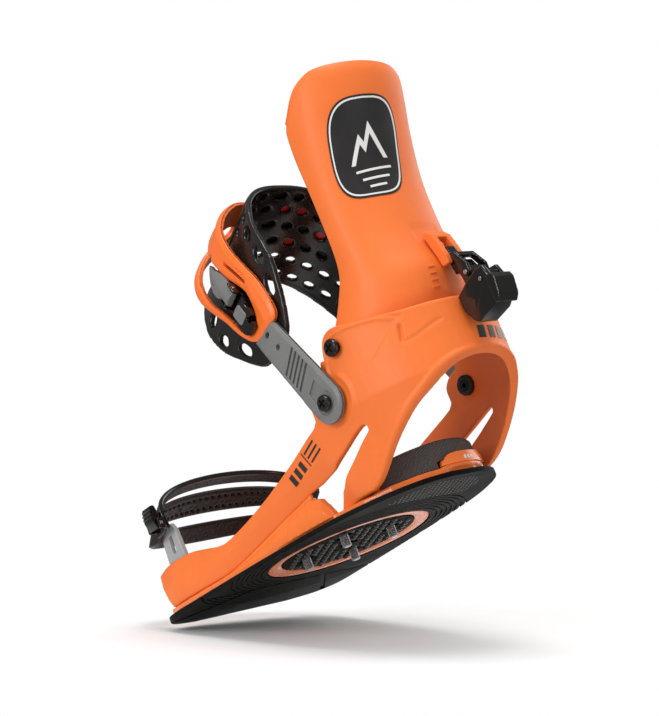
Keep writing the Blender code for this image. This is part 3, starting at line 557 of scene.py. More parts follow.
def true_edges(body, outline, radius=1.5):
    """Puts the points near the cut edges on an exact rounded edge, where the remesh leaves them stepped."""
    p = vertex_array(body)[0]
    inside, inward = inside_depth(p[:, 1:3], outline, True)
    depth, out = wall_depth(p)
    thick = np.interp(p[:, 1], *zip(*WALL_THICKNESS))
    face = np.minimum(depth, thick - depth)
    near = (np.abs(inside) < radius) & (face > -0.7)
    length = np.maximum(np.hypot(radius - inside, radius - face), 1e-6)
    corner = near & (face < radius)
    new_inside = np.where(corner, radius - (radius - inside) * radius / length,
                          np.where(near & (inside < 0.9), 0, inside))
    new_face = np.where(corner, radius - (radius - face) * radius / length, face)
    sign = np.where(depth < thick - depth, -1.0, 1.0)
    p[:, 1:3] += inward * (new_inside - inside)[:, None]
    p += out * ((new_face - face) * sign)[:, None]
    set_vertices(body, p)


def shape_chassis(body):
    """Relief of the outer face: sunk panel, grooves, arch lip, rim round the strap bolt, chamfers of arm and toe."""
    p = vertex_array(body)[0]
    x, y, z = p.T
    depth, out = wall_depth(p)
    facing = 1 - ramp(depth, 0.8, 3.4)
    side = np.stack([y, z], 1)
    panel = [(99, 82), (103, 92), (107, 95.8), (113, 96.4), (121.6, 96), (130, 94.6), (138.7, 92.5), (148, 87.4),
             (141, 81), (131, 72), (118, 64), (106, 66), (100, 72)]
    move = -1.0 * np.clip(inside_depth(side, panel) / 1.1, 0, 1) * ramp(z, 64, 80)
    rim_groove = [(104, 95.4), (107, 97.2), (113, 97.8), (121.6, 97.4), (130, 96), (138.7, 93.9), (149, 88.6)]
    for line, deep in ((rim_groove, 0.9), ([(147.2, 83), (146, 74.6)], 2.0),
                       ([(146, 73), (153, 74.6), (161, 79.5)], 0.8)):
        move -= deep * hat(line_distance(side, line), 1.2)
    arch_edge = inside_depth(side, curve_through(ARCH_EDGE, 3) + [(171, 130), (60, 130), (60, 7.5)])
    move += 0.9 * (1 - ramp(arch_edge, 2.4, 3.6)) * (y > 86) * ramp(z, 8, 14)
    from_ankle = np.hypot(y - ANKLE[0], z - ANKLE[1])
    move += 1.1 * hat(from_ankle - 16.2, 2.4) * ramp(y - 0.55 * (z - ANKLE[1]), 92, 100)
    under = ARM_UNDER + [(60, 29), (75, 33)]
    above = z - np.interp(y, *zip(*under))
    arm = (1 - ramp(y, 62, 76)) * (y > -110)
    box = 1 - ramp(y, -62, -46)
    shear = arm * np.clip(1 - above / 9.5, 0, 1) * 3.2 * ramp(y, -70, -30)
    shear += box * 3.0 * np.clip((z - 22) / 11, 0, 1) + box * 3.6 * np.clip((-94 - y) / 18, 0, 1)
    shear += box * 1.6 * np.clip((13 - z) / 6, 0, 1)
    shear *= 1 - np.clip(depth / (5 + 2.6 * box), 0, 1)
    set_vertices(body, p + out * (move * facing - shear)[:, None])


chassis()


# ------------------------ shared surfaces, bolts and printed marks

def cross_recess(centre, radius, low, high, axis="X", turn=0.4):
    """Cutter for a cross-head recess between low and high along the axis."""
    bars = []
    for k in range(2):
        a = turn + k * math.pi / 2
        u, v = (math.cos(a), math.sin(a)), (-math.sin(a), math.cos(a))
        outline = [tuple(centre[i] + s * radius * u[i] + t * 0.55 * v[i] for i in (0, 1))
                   for s, t in ((-1, -1), (1, -1), (1, 1), (-1, 1))]
        bars.append(prism(outline, axis, low, high))
    return bars


def bolt(name, node, body, profile, centre, recess, hex_end=None):
    """Domed cross-head bolt that stands for a CAD bolt."""
    obj = to_object(name, turned(profile, "X", centre, 36))
    for bar in cross_recess(centre, *recess):
        cut(obj, bar)
    if hex_end:
        radius, low, high = hex_end
        cut(obj, turned([(radius, low), (radius, high)], "X", centre, 6))
    dress(obj, DARK_STEEL, body, [node], sharp=28)


def plate(name, outline, surface, mat, body, lift=0.3, sink=0.5, step=2.5):
    """Thin print or badge that follows a surface; surface turns (a, b, lift) into a point in mm."""
    bm = bmesh.new()
    face = bm.faces.new([bm.verts.new((a, b, 0)) for a, b in outline])
    bm.normal_update()
    for axis in (0, 1):
        low, high = min(p[axis] for p in outline), max(p[axis] for p in outline)
        for k in range(1, int((high - low) / step) + 1):
            normal = (1, 0, 0) if axis == 0 else (0, 1, 0)
            point = tuple((low + k * step) * c for c in normal)
            parts = bm.verts[:] + bm.edges[:] + bm.faces[:]
            bmesh.ops.bisect_plane(bm, geom=parts, plane_co=point, plane_no=normal)
    top = bmesh.ops.extrude_face_region(bm, geom=bm.faces[:])
    for v in [g for g in top["geom"] if isinstance(g, bmesh.types.BMVert)]:
        v.co.z = 1
    for v in bm.verts:
        v.co = Vector(surface(v.co.x, v.co.y, lift if v.co.z > 0.5 else -sink)) * MM
    dress(to_object(name, bm), mat, body, sharp=40)


def arm_face(y, z, out):
    """Point on the outside of the near side wall."""
    foot, top = table(y, WALL_ROWS, 1), table(y, WALL_ROWS, 2)
    return (foot + (top - foot) * min(1.0, z / LEAN_TOP) + out, y, z)


def belt_face(degrees, z, out):
    """Point on the outside of the heel hoop; degrees is 90 at the rear."""
    a = math.radians(degrees)
    share = min(1.0, z / LEAN_TOP)
    x, y = FOOT_A + FLARE_A * share + out, FOOT_B + FLARE_B * share + out
    return (x * math.cos(a), HOOP_Y + y * math.sin(a), z)


# generic stripes on the arm and blocks on the rear belt
for k, (y0, z0) in enumerate(((35, 33.2), (41, 35.0), (47, 36.8))):
    bar = [(y0, z0), (y0 + 3.4, z0 + 1.1), (y0 + 1.6, z0 + 7.4), (y0 - 1.8, z0 + 6.3)]
    plate(f"arm_stripe_{k}", bar, arm_face, BLACK_INK, "base")
plate("arm_rule", [(54.3, 38.2), (54.9, 38.4), (52.3, 47.6), (51.7, 47.4)], arm_face, BLACK_INK, "base")
for k in range(3):
    y0, z0 = 56.6 - 1.1 * k, 39.4 + 3.1 * k
    plate(f"arm_line_{k}", [(y0, z0), (y0 + 12, z0 + 3.9), (y0 + 11.7, z0 + 4.9), (y0 - 0.3, z0 + 1.0)], arm_face,
          BLACK_INK, "base")
for k, (d0, mat) in enumerate(((88, BLACK_INK), (97, BLACK_INK), (106, GREY), (115, SILVER))):
    plate(f"belt_block_{k}", [(d0, 63.5), (d0 + 5.5, 63.5), (d0 + 7, 71), (d0 + 1.5, 71)], belt_face, mat, "base")

HINGE_HEAD = [(2.8, 45), (2.8, 59.9), (5.4, 59.92), (5.4, 60.9), (4.9, 61.9), (3.4, 62.5), (1.2, 62.7)]
ANKLE_HEAD = [(2.8, 51.2), (2.8, 65.5), (5.0, 65.52), (5.0, 66.4), (4.5, 67.4), (3.0, 67.9), (1.2, 68.0)]
for side, name in ((1, "near"), (-1, "far")):
    bolt(f"hinge_bolt_head_{name}", f"hinge_bolt_{name}", "base", [(r, side * d) for r, d in HINGE_HEAD], HINGE,
         (3.2, *sorted((side * 61.2, side * 64))))
    bolt(f"ankle_bolt_head_{name}", f"ankle_bolt_{name}", "base", [(r, side * d) for r, d in ANKLE_HEAD], ANKLE,
         (3.0, *sorted((side * 66.6, side * 70))), (1.9, *sorted((side * 50, side * 53.4))))


# ------------------------ clamp disc and sole

def disc_underside():
    """Rows of small domes under the clamp disc, and the threaded screws."""
    domes = []
    for row in range(-6, 7):
        for col in range(-6, 7):
            x, y = 6.8 * col + (3.4 if row % 2 else 0), 6.6 * row
            on_screw = abs(abs(x) - SCREW) < 5.4 and abs(abs(y) - SCREW) < 9.6
            if on_screw or not 8 <= math.hypot(x, y) <= 41.5:
                continue
            domes.append(turned([(1.9, 1.6), (1.9, 0.7), (1.6, 0.1), (1.0, -0.25), (0.35, -0.4)], "Z", (x, y), 14))
    dress(to_object("disc_domes", merged(domes)), GLOSS_BLACK, "disc", sharp=60)
    for i, (sx, sy) in enumerate(((1, 1), (-1, 1), (-1, -1), (1, -1)), 1):
        profile = [(2.0, -5.5), (2.9, -4.9)]
        for k in range(11):
            profile += [(2.45, -4.6 + 0.8 * k), (2.98, -4.2 + 0.8 * k)]
        profile += [(3, 4.8), (6.3, 4.81), (6.3, 6.3), (5.6, 7.2), (3.6, 8.0), (1.0, 8.2)]
        centre = (sx * SCREW, sy * SCREW)
        screw = to_object(f"threaded_screw_{i}", turned(profile, "Z", centre, 28))
        for bar in cross_recess(centre, 3.0, 6.6, 10, "Z"):
            cut(screw, bar)
        dress(screw, STEEL, "disc", [f"disc_screw_{i}"], sharp=28)


SOLE_EDGE = [(40, -124), (60, -118), (70, -108), (73, -95), (72, -67), (70.5, -35), (68, 0), (64.5, 33), (60, 59),
             (53, 79), (43, 97), (29, 110), (13, 116.3)]


def outline_between(edge, low_y, high_y, smooth=True):
    """Part of an edge table between two y values, closed with its mirror image."""
    if smooth:
        edge = curve_through(edge, 4)
    rows = [(y, x) for x, y in edge]
    inner = [(x, y) for x, y in edge if low_y < y < high_y]
    if low_y > rows[0][0]:
        inner = [(table(low_y, rows, 1), low_y)] + inner
    if high_y < rows[-1][0]:
        inner = inner + [(table(high_y, rows, 1), high_y)]
    return inner + [(-x, y) for x, y in reversed(inner)]


def annulus(inner, outer, low, high, count=120):
    """Flat ring round the board axis."""
    corners = ((inner, low), (outer, low), (outer, high), (inner, high))
    return loft([[(r * math.cos(a), r * math.sin(a), z) for r, z in corners]
                 for a in turns(count)], closed=True)


def sole():
    """Rubber pads with rings of grooves round the disc, a diagonal flex groove and a dotted heel patch."""
    front = to_object("front_sole", prism(outline_between(SOLE_EDGE, -200, -67), "Z", 0, 3))
    rear = to_object("rear_sole", prism(outline_between(SOLE_EDGE, -65, 200), "Z", 0, 3))
    cut(rear, turned([(54.3, -2), (54.3, 9)], "Z", (0, 0), 96))
    pitch, first = 3.3, 58
    rings = [annulus(first + pitch * k, first + 1 + pitch * k, -1, 0.8) for k in range(13)]
    # the grooves stop short of the heel, where the dots are
    cut(front, merged([r.copy() for r in rings[2:]]))
    cut(rear, merged(rings[:7]))
    groove = [prism([(side * 62, -112), (side * 66, -111), (side * 31, -64.5), (side * 28, -66)], "Z", -1, 1.4)
              for side in (1, -1)]
    cut(front, merged(groove))
    dress(front, SOLE, "base", ["front_sole_pad"], sharp=30)
    dress(rear, SOLE, "base", ["rear_sole_pad"], sharp=30)
    dots = []
    for row in range(9):
        for col in range(-9, 10):
            x, y = 3.6 * col + (1.8 if row % 2 else 0), 80 + 3.4 * row
            if abs(x) < 34 - 0.9 * row - max(0, y - 96) * 0.9:
                dots.append(turned([(1.1, 1.2), (1.1, 0.25), (0.7, -0.05)], "Z", (x, y), 6))
    dress(to_object("sole_dots", merged(dots)), GLOSS_BLACK, "base", slot="sole_rubber", sharp=50)


disc_underside()
sole()


# ------------------------ footbeds

def dense(outline, spacing):
    """Outline with points about evenly spaced."""
    out = []
    for a, b in zip(outline, outline[1:] + outline[:1]):
        n = max(1, round(math.dist(a, b) / spacing))
        out += [(a[0] + (b[0] - a[0]) * k / n, a[1] + (b[1] - a[1]) * k / n) for k in range(n)]
    return out


def heel_bed():
    """Hatched foam wedge with a serrated rim; its foot is tucked in behind the bumper of the tray."""
    edge = [(38, 53), (40.8, 56), (42, 61), (42.6, 67), (42.5, 73), (41.8, 80), (40.2, 86), (37.2, 91.5),
            (32.5, 97.5), (27, 102.6), (20.5, 106.8), (14, 110), (8.5, 111.9), (2.8, 112.6)]
    ring = dense(outline_between(curve_through(edge, 2), -200, 200, smooth=False), 1.3)
    ring = ring[:len(ring) // 2 * 2]
    rows = []
    for scale, height, share in ((0.992, 7.7, 0), (1.0, 8.5, 0), (1.0, 11.6, 0), (1.0, 11.75, 0), (1.004, 0, -5.2),
                                 (1.0, 0, -2.2), (1.004, 0, -1.4), (0.996, 0, -0.3), (0.978, 0, 0), (0.955, 0, -0.4),
                                 (0.93, 0, -1.6), (0.84, 0, -2.0), (0.6, 0, -2.4), (0.4, 0, -2.6), (0.2, 0, -2.7),
                                 (0.04, 0, -2.7)):
        rim = share in (-1.4, -0.3)
        row = []
        for i, (x, y) in enumerate(ring):
            notch = 0.7 if rim and i % 2 else 0.0
            tuck = 0.84 if 0 < height < 11.7 and -32.5 < x < 13.2 and y > 90 else 1.0
            shrink = scale * tuck * (1 - 0.014 * notch)
            px, py = x * shrink, 78 + (y - 78) * shrink
            row.append((px, py, (height or 18.6 + 0.095 * (py - 53) + share) - notch))
        rows.append(row)
    obj = to_object("heel_bed", loft(rows))
    for side in (1, -1):
        cut(obj, prism(box_outline((side * 33.9, 45), (side * 56, 86)), "Z", 5, 13.7))
    dress(obj, FOAM, "base", ["heel_footbed"], sharp=40)


BUMPER_A, BUMPER_B, BUMPER_Y = 46, 50, 65     # half axes and middle of the bumper behind the heel


def bumper_face(degrees, z, out):
    """Point on the outside of the bumper behind the heel."""
    a = math.radians(degrees)
    return ((BUMPER_A + out) * math.cos(a), BUMPER_Y + (BUMPER_B + out) * math.sin(a), z)


def toe_bed():
    """Foam bed of the toe ramp, ribbed across; rings of one outline, drawn in towards the middle."""
    corners = [(35, -118), (41, -111), (41, -64), (28, -59), (-28, -59), (-41, -64), (-41, -111), (-35, -118)]
    ring = dense(rounded(corners, 6), 2.5)
    rows = []
    for scale, height, slope in ((0.985, 12.5, 0.03), (1.0, 13.2, 0.03), (1.0, 15.7, 0.045), (0.985, 17.1, 0.045),
                                 (0.95, 17.75, 0.045), (0.88, 17.9, 0.045), (0.7, 17.9, 0.045), (0.5, 17.9, 0.045),
                                 (0.3, 17.9, 0.045), (0.1, 17.9, 0.045)):
        row = []
        for x, y in ring:
            px, py = x * scale, -88 + (y + 88) * scale
            rib = 0.5 * max(0.0, math.sin(py * 1.1)) if scale < 0.93 else 0.0
            row.append((px, py, height - slope * (py + 60) - rib))
        rows.append(row)
    obj = to_object("toe_bed", loft(rows))
    dress(obj, FOAM, "toe_ramp_slide", ["toe_footbed"], sharp=50)


heel_bed()
toe_bed()
plate("heel_plate", rounded([(71, 7.8), (79, 13.6), (86, 14.4), (118, 14.8), (124, 12.5), (131, 8.5)], 2),
      bumper_face, GLOSS_ORANGE, "base", lift=0.9, sink=1.6, step=2)
for k, middle in enumerate((95, 98.6, 102.2)):
    plate(f"heel_dot_{k}", circle((middle, 10.6), 1.25, 16), bumper_face, WHITE_INK, "base", lift=1.15, sink=-0.7,
          step=1)


# ------------------------ highback

SHELL_ROWS = [(80, 51.5, 99, 148), (96, 51.0, 101, 155), (104, 48.5, 106, 157.5), (116, 46, 113, 158),
              (130, 43.5, 119, 154), (148, 43, 121, 150.5), (180, 43.5, 121, 150), (210, 44.5, 121, 157.5),
              (232, 45.0, 124, 165), (248, 44.5, 129, 168.5), (262, 42, 136, 170)]
SHELL_T = 4.2
SHELL_GIRTH = 135               # length round the shell from edge to edge
SMOOTH_ROWS = curve_through(SHELL_ROWS, 5)
FOOT_EDGE = [(0, 84), (0.2, 80.5), (0.42, 84), (0.62, 88.5), (0.8, 89.5), (1, 90)]
LIP_EDGE = curve_through([(0, 230), (0.2, 243), (0.42, 248.2), (0.6, 249.8), (1, 249)], 4)


def shell_point(across, height, inset):
    """Point on the shell; across runs from 0 at the +X edge to 1 at the -X edge."""
    a = table(height, SMOOTH_ROWS, 1) - inset
    front = table(height, SMOOTH_ROWS, 2)
    rear = table(height, SMOOTH_ROWS, 3) - inset
    t = math.pi * across
    return (a * math.cos(t), front + (rear - front) * max(0.0, math.sin(t)) ** 0.85, height)


def shell_edges(across):
    """Heights of the lower edge and of the upper lip."""
    middle = math.sin(math.pi * across)
    return table(middle, FOOT_EDGE, 1), table(middle, LIP_EDGE, 1)


def shell_relief(across, height):
    """Extra inset of the outer face: bent margins along both edges, a lip at the top, a seat for the adjuster."""
    edge = min(across, 1 - across)
    relief = 1.9 * max(0.0, 1 - edge / 0.12)
    top = shell_edges(across)[1]
    relief += 1.7 * max(0.0, 1 - (top - height) / 5.5)
    x = shell_point(across, height, 0)[0]
    seat = min(smooth_step(13.5 - abs(x + 8), 0, 2.2), smooth_step(height, 99, 101),
               1 - smooth_step(height, 143, 147))
    return relief + 0.7 * max(0.0, seat)


def highback():
    """Closed shell between an outer and an inner sheet, with rounded edges all round."""
    half = SHELL_T / 2
    columns = [i / 72 for i in range(73)]
    lips = [math.radians(d) for d in (75, 50, 25)]
    rows = []
    for kind, value in ([("low", a) for a in lips] + [("mid", k / 66) for k in range(67)]
                        + [("top", a) for a in reversed(lips)]):
        outer, inner = [], []
        for across in columns:
            low, top = shell_edges(across)
            low, top = low + half, top - half
            if kind == "mid":
                height, spread = low + (top - low) * value, half
            elif kind == "low":
                height, spread = low - half * math.sin(value), half * math.cos(value)
            else:
                height, spread = top + half * math.sin(value), half * math.cos(value)
            outer.append(shell_point(across, height, half - spread + shell_relief(across, height) * spread / half))
            inner.append(shell_point(across, height, half + spread))
        # rounded front edges
        near, far = [], []
        for d in (35, 70, 110, 145):
            t = math.radians(d)
            share = (1 - math.cos(t)) / 2
            for store, end in ((near, 0), (far, -1)):
                a, b = Vector(outer[end]), Vector(inner[end])
                p = a.lerp(b, share)
                p.y -= (a - b).length / 2 * math.sin(t)
                store.append(tuple(p))
        rows.append(outer + far + inner[::-1] + near[::-1])
    bm = bmesh.new()
    grid = [[bm.verts.new(Vector(p) * MM) for p in row] for row in rows]
    for low, high in zip(grid, grid[1:]):
        for i in range(-1, len(low) - 1):
            bm.faces.new((low[i], low[i + 1], high[i + 1], high[i]))
    # the first and last rows are closed by a strip between the two sheets
    n = len(columns)
    for row in (grid[0], grid[-1]):
        order = row[-2:] + row[:n + 2]
        facing = row[2 * n + 5:n + 1:-1]
        for i in range(len(order) - 1):
            a, b, c, d = order[i], order[i + 1], facing[i + 1], facing[i]
            if len({a, b, c, d}) == 4:
                bm.faces.new((a, b, c, d))
    obj = to_object("highback_moulding", bm)
    holes = []
    for side in (1, -1):
        boss = [(r, side * d) for r, d in ((7.2, 46.4), (7.5, 46.8), (7.5, 50.7), (7.2, 51.1))]
        cut(obj, turned(boss, "X", HINGE, 36), "UNION")
        holes.append(turned([(3.1, side * 40), (3.1, side * 70)], "X", HINGE, 24))
    cut(obj, merged(holes))
    dress(obj, ORANGE, "highback", ["highback_shell"], sharp=42)


def shell_face(s, height, out):
    """s is the distance round the shell from its middle, in mm, positive towards -X."""
    across = 0.5 + s / SHELL_GIRTH
    return shell_point(across, height, -out + shell_relief(across, height))


def badge_outline(grow):
    """Rounded tall badge, leaning a little with the shell."""
    out = []
    for t in turns(48):
        c, s = math.cos(t), math.sin(t)
        x = math.copysign(abs(c) ** 0.55, c) * (25.5 + grow)
        y = math.copysign(abs(s) ** 0.6, s) * (30.5 + grow)
        out.append((x - 15 + 0.10 * y, 197 + y))
    return out


def ring_plate(name, outer, inner, surface, mat, body, lift):
    """Thin closed border between two outlines of equal length."""
    rings = []
    for o, i in zip(outer, inner):
        rings.append([surface(*o, lift), surface(*i, lift), surface(*i, -0.3), surface(*o, -0.3)])
    dress(to_object(name, loft(rings, closed=True)), mat, body, sharp=40)


highback()
plate("badge", badge_outline(0), shell_face, BLACK_INK, "highback", lift=0.35)
ring_plate("badge_border", badge_outline(-1.3), badge_outline(-2.3), shell_face, WHITE_INK, "highback", 0.6)
PEAKS = [(-28, 187), (-19, 205), (-16, 200), (-11, 212), (-1, 190), (-4, 190), (-11, 205), (-16, 194),
         (-19, 199), (-25, 187)]
RULES = [[(-26, 182), (0, 184), (0, 185.4), (-26, 183.4)], [(-23, 177), (-3, 178.6), (-3, 180), (-23, 178.4)],
         [(-19.5, 172.4), (-7, 173.4), (-7, 174.8), (-19.5, 173.8)]]
for k, mark in enumerate([PEAKS] + RULES):
    plate(f"badge_peak_{k}", mark, shell_face, WHITE_INK, "highback", lift=0.6)
for k in range(4):
    h = 101 + 4.2 * k
    plate(f"lean_mark_{k}", [(-9.8, h), (-5.5, h + 0.3), (-5.5, h + 1.3), (-9.8, h + 1.0)], shell_face, ORANGE,
          "highback", lift=0.9)


def inner_pad():
    """Crowned liner of the highback with two sewn channels."""
    columns, levels = 41, 49
    rows = []
    for j in range(levels):
        v = j / (levels - 1)
        height = 118 + 120 * v
        outer, inner = [], []
        for i in range(columns):
            u = i / (columns - 1)
            across = 0.15 + 0.70 * u
            edge = min(u, 1 - u, v * 1.6, (1 - v) * 1.6)
            swell = 3.3 * min(1.0, (edge / 0.07)) ** 0.5 if edge > 0 else 0.0
            bow = 0.06 * math.cos(math.pi * (u - 0.5))
            channel = 1.5 * sum(math.exp(-((v - c - bow) / 0.012) ** 2) for c in (0.28, 0.62))
            outer.append(shell_point(across, height, SHELL_T + 1.1))
            inner.append(shell_point(across, height, SHELL_T + 1.35 + max(0.05, swell - channel * (edge > 0.05))))
        rows.append(outer + inner[::-1])
    obj = to_object("highback_liner", loft(rows, caps=False))
    bm = bmesh.new()
    bm.from_mesh(obj.data)
    bm.verts.ensure_lookup_table()
    for start in (0, (levels - 1) * 2 * columns):
        for i in range(columns - 1):
            facing = 2 * columns - 1 - i
            bm.faces.new([bm.verts[start + k] for k in (i, i + 1, facing - 1, facing)])
    bmesh.ops.recalc_face_normals(bm, faces=bm.faces)
    bm.to_mesh(obj.data)
    bm.free()
    dress(obj, LINER, "highback", ["highback_pad"], sharp=60)


inner_pad()


# ------------------------ ankle strap

def arch(along, across, out):
    """Point of the ankle strap; along is the distance from the near bolt, across heelwards, out is outward."""
    # straight length, length of the arc, half its width, its height
    leg, bend, half, rise = 72.0, 236.0, 61.2, 92.0
    if along < leg:
        x, h = half + out, along
    elif along > leg + bend:
        x, h = -half - out, 2 * leg + bend - along
    else:
        a = math.pi * (along - leg) / bend
        x = (half + out) * math.copysign(abs(math.cos(a)) ** 0.8, math.cos(a))
        h = leg + (rise + out) * math.sin(a)
    c, s = math.cos(STRAP_LEAN), math.sin(STRAP_LEAN)
    return (x, ANKLE[0] + h * c + across * s, ANKLE[1] + h * s - across * c)


def slab(outline, low, high):
    """Flat strap piece between two heights over the strap surface."""
    return prism(outline, "Z", low, high)


def bent(name, solids, holes, warp, voxel, rounds, shape=None):
    """Piece made flat in mm, cut and softened, then bent into place by warp(x, y, z)."""
    obj = to_object(name, merged(solids))
    for group in holes:
        cut(obj, group)
    soften(obj, voxel, rounds)
    points = vertex_array(obj)[0]
    if shape:
        points[:, 2] = shape(*points.T, points[:, :2])
    set_vertices(obj, [warp(*p) for p in points])
    face_out(obj)
    return obj


def face_out(obj):
    """Turns all faces outwards after a bend."""
    bm = bmesh.new()
    bm.from_mesh(obj.data)
    bmesh.ops.recalc_face_normals(bm, faces=bm.faces)
    bm.to_mesh(obj.data)
    bm.free()


def oval(x, y, rx, ry, turn=0.0, count=14):
    """Turned ellipse."""
    c, s = math.cos(turn), math.sin(turn)
    return [(x + rx * math.cos(t) * c - ry * math.sin(t) * s, y + rx * math.cos(t) * s + ry * math.sin(t) * c)
            for t in turns(count)]


def ankle_pad():
    """Perforated pad with raised rims, its backing sheet, red keepers and bolt."""
    toeward = [(55, -8), (55, -13), (58, -20), (66, -25), (74, -29), (89, -37), (103, -41), (115, -42),
               (135, -39.5), (150, -35), (170, -33), (200, -33), (230, -33), (258, -35), (280, -37), (300, -35),
               (316, -26), (324, -14)]
    heelward = [(324, 4), (316, 17), (304, 27), (290, 34), (270, 38), (250, 39), (225, 40), (190, 40), (160, 40),
                (130, 40), (114, 39), (101, 39), (87, 37), (75.5, 30), (62.5, 20), (54, 11), (53, 4)]
    outline = curve_through(toeward + heelward, 3, closed=True)
    # holes as (along, across, half length, half width, turn)
    spots = [(113, -31, 4.4, 5.2, -0.5), (95, -32, 5.2, 3.3, -0.5), (77, -22.5, 6.0, 3.3, -0.4),
             (80, 24, 6.5, 3.6, 0.6), (97, 31, 6.5, 4.0, 0.2), (116, 32, 6.0, 4.2, 0), (131, 33, 4.4, 3.4, 0),
             (131, 23, 3.6, 3.0, 0)]
    for i in range(11):
        for k, row in enumerate((-25, -13, -1, 11, 23, 33)):
            a = 143 + 14 * i + (7 if k % 2 else 0)
            if k == 0 and a > 285 or k == 5 and a > 280 or (abs(a - 262) < 10 and abs(row + 1) < 10):
                continue
            spots.append((a, row, 4.1, 2.7 if k > 1 else 1.9, 0.15))
    holes = [merged([slab(oval(*s), -9, 9) for s in spots])]

    def shape(x, y, z, flat):
        near = np.full(len(x), 1e9)
        for s in spots:
            near = np.minimum(near, np.hypot((x - s[0]) / (s[2] / 4.2), (y - s[1]) / (s[3] / 4.2)))
        rim = 0.6 * hat(near - 5.2, 1.4)
        lip = 0.6 * hat(inside_depth(flat, outline) - 2.2, 1.6)
        return z + np.where(z > -2.3, np.maximum(rim, lip) * 0.5, -lip * 0.7)
    obj = bent("strap_pad", [slab(outline, -4.0, -0.8)], holes, arch, 0.95, 4, shape)
    dress(obj, PAD_BLACK, "ankle_strap", ["ankle_pad"])
    sheet = [(138, -8), (318, -6), (318, 10), (304, 24), (290, 31), (270, 35), (225, 37), (160, 37), (138, 36)]
    plate("pad_backing", sheet, arch, BLACK, "ankle_strap", lift=-0.3, sink=0.75)
    for k, (a, c) in enumerate(((199, 23), (213, 23), (234, 11), (213, -1), (185, 11))):
        plate(f"red_keeper_{k}", oval(a, c, 5.4, 3.6, 0.15), arch, RED, "ankle_strap", lift=-0.8, sink=1.3)
    discs = [slab(circle((262, -1), 5, 20), -5.2, -3.4), slab(circle((262, -1), 2.6, 16), -6.2, -3.4)]
    nut = bent("pad_bolt", discs, [], arch, 0.4, 2)
    dress(nut, DARK_STEEL, "ankle_strap")


def exo_frame():
    """Orange two-band frame: wide faceted heelward band, slim toeward band, joined at the tip and at the top."""
    outer = [(64.5, -2), (64.5, 4), (64, 9), (63, 13), (66.5, 17.5), (77, 20.5), (87, 21.8), (99, 20.2), (114, 19),
             (132, 19.5), (150, 21), (166, 22), (180, 22), (189, 16), (191, 5), (187, -8), (176, -17), (160, -22.5),
             (140, -26), (123, -26.5), (114, -25), (103, -21.5), (93, -18), (82, -15.5), (73, -12), (67, -7)]
    inner = [(73, -7), (77, -10.5), (82, -12.2), (90, -13.3), (101, -16), (112, -19), (130, -19), (150, -16),
             (165, -11), (174, -3), (175, 4), (168, 4.5), (150, 2), (138, 1), (127, 0.8), (108, 4), (99, 7), (89, 10),
             (81, 8), (75, 4), (72.6, -1)]
    body = slab(curve_through(outer, 3, closed=True), 0.5, 4.6)
    holes = [slab(curve_through(inner, 3, closed=True), -3, 9),
             slab(rounded([(137, 7.5), (140, 15.5), (155, 15), (158, 8)], 2.2), -3, 9),
             slab([(124, -1), (129, -1), (128, 4.5), (125, 4.5)], -3, 9),
             slab([(91, 15.4), (92, 13.2), (113, 8.6), (113, 10.8)], -3, 9),
             slab([(86, 18.7), (87, 17.6), (103, 14.2), (103, 15.4)], 3.1, 9)]
    outline_out = curve_through(outer, 2, closed=True)
    outline_in = curve_through(inner, 2, closed=True)

    def shape(x, y, z, flat):
        rim = inside_depth(flat, outline_out)
        hole = -inside_depth(flat, outline_in)
        drop = 1.4 * np.clip(1 - rim / 2.8, 0, None) + 0.7 * np.clip(1 - hole / 1.5, 0, None)
        ridge = 1.0 * hat((y - 13) - 0.35 * (x - 80), 5) * (1 - ramp(x, 84, 100))
        stand_off = 6.5 * ramp(x, 92, 135) * (1 - 0.7 * ramp(x, 165, 191))
        return z + stand_off + np.where(z > 2.6, ridge - drop, 0)
    obj = bent("exo_frame", [body], holes, arch, 0.55, 1, shape)
    dress(obj, FRAME_ORANGE, "ankle_strap", ["ankle_exo_frame"])


def connector():
    """Grey strap end: rounded foot with a teardrop facet, five slanted ribs and two holes."""
    blade = [(8, 12.4), (40, 11.4), (60, 10.9), (68.6, 10.2), (68.8, -10.2), (60, -10.9), (40, -11.4), (8, -12.4)]
    outline = arc(12.5, -90, 91, 9, -1) + blade
    holes = [slab(oval(50.8, 1, 1.7, 2.0), -3, 9), slab(oval(62.4, 1, 1.7, 2.2), -3, 9)]
    for k in range(5):
        x = 22.5 + 3.7 * k
        holes.append(slab([(x - 2.6, -8.6), (x - 0.9, -8.8), (x + 4.1, 8.8), (x + 2.4, 9.0)], 2.0, 9))
    holes.append(slab(arc(7.2, 50, 311, 13) + [(13.5, -4.5), (15.5, 5)], 2.6, 9))
    holes.append(slab(circle((0, 0), 3.1, 24), -3, 9))

    def shape(x, y, z, flat):
        edge = inside_depth(flat, outline)
        return z - np.where(z > 2, 1.2 * np.clip(1 - edge / 2.2, 0, None) + 0.25 * (x > 16), 0)
    obj = bent("strap_connector", [slab(outline, 0.1, 4.0)], holes, arch, 0.42, 1, shape)
    dress(obj, GREY, "ankle_strap", ["ankle_connector"])


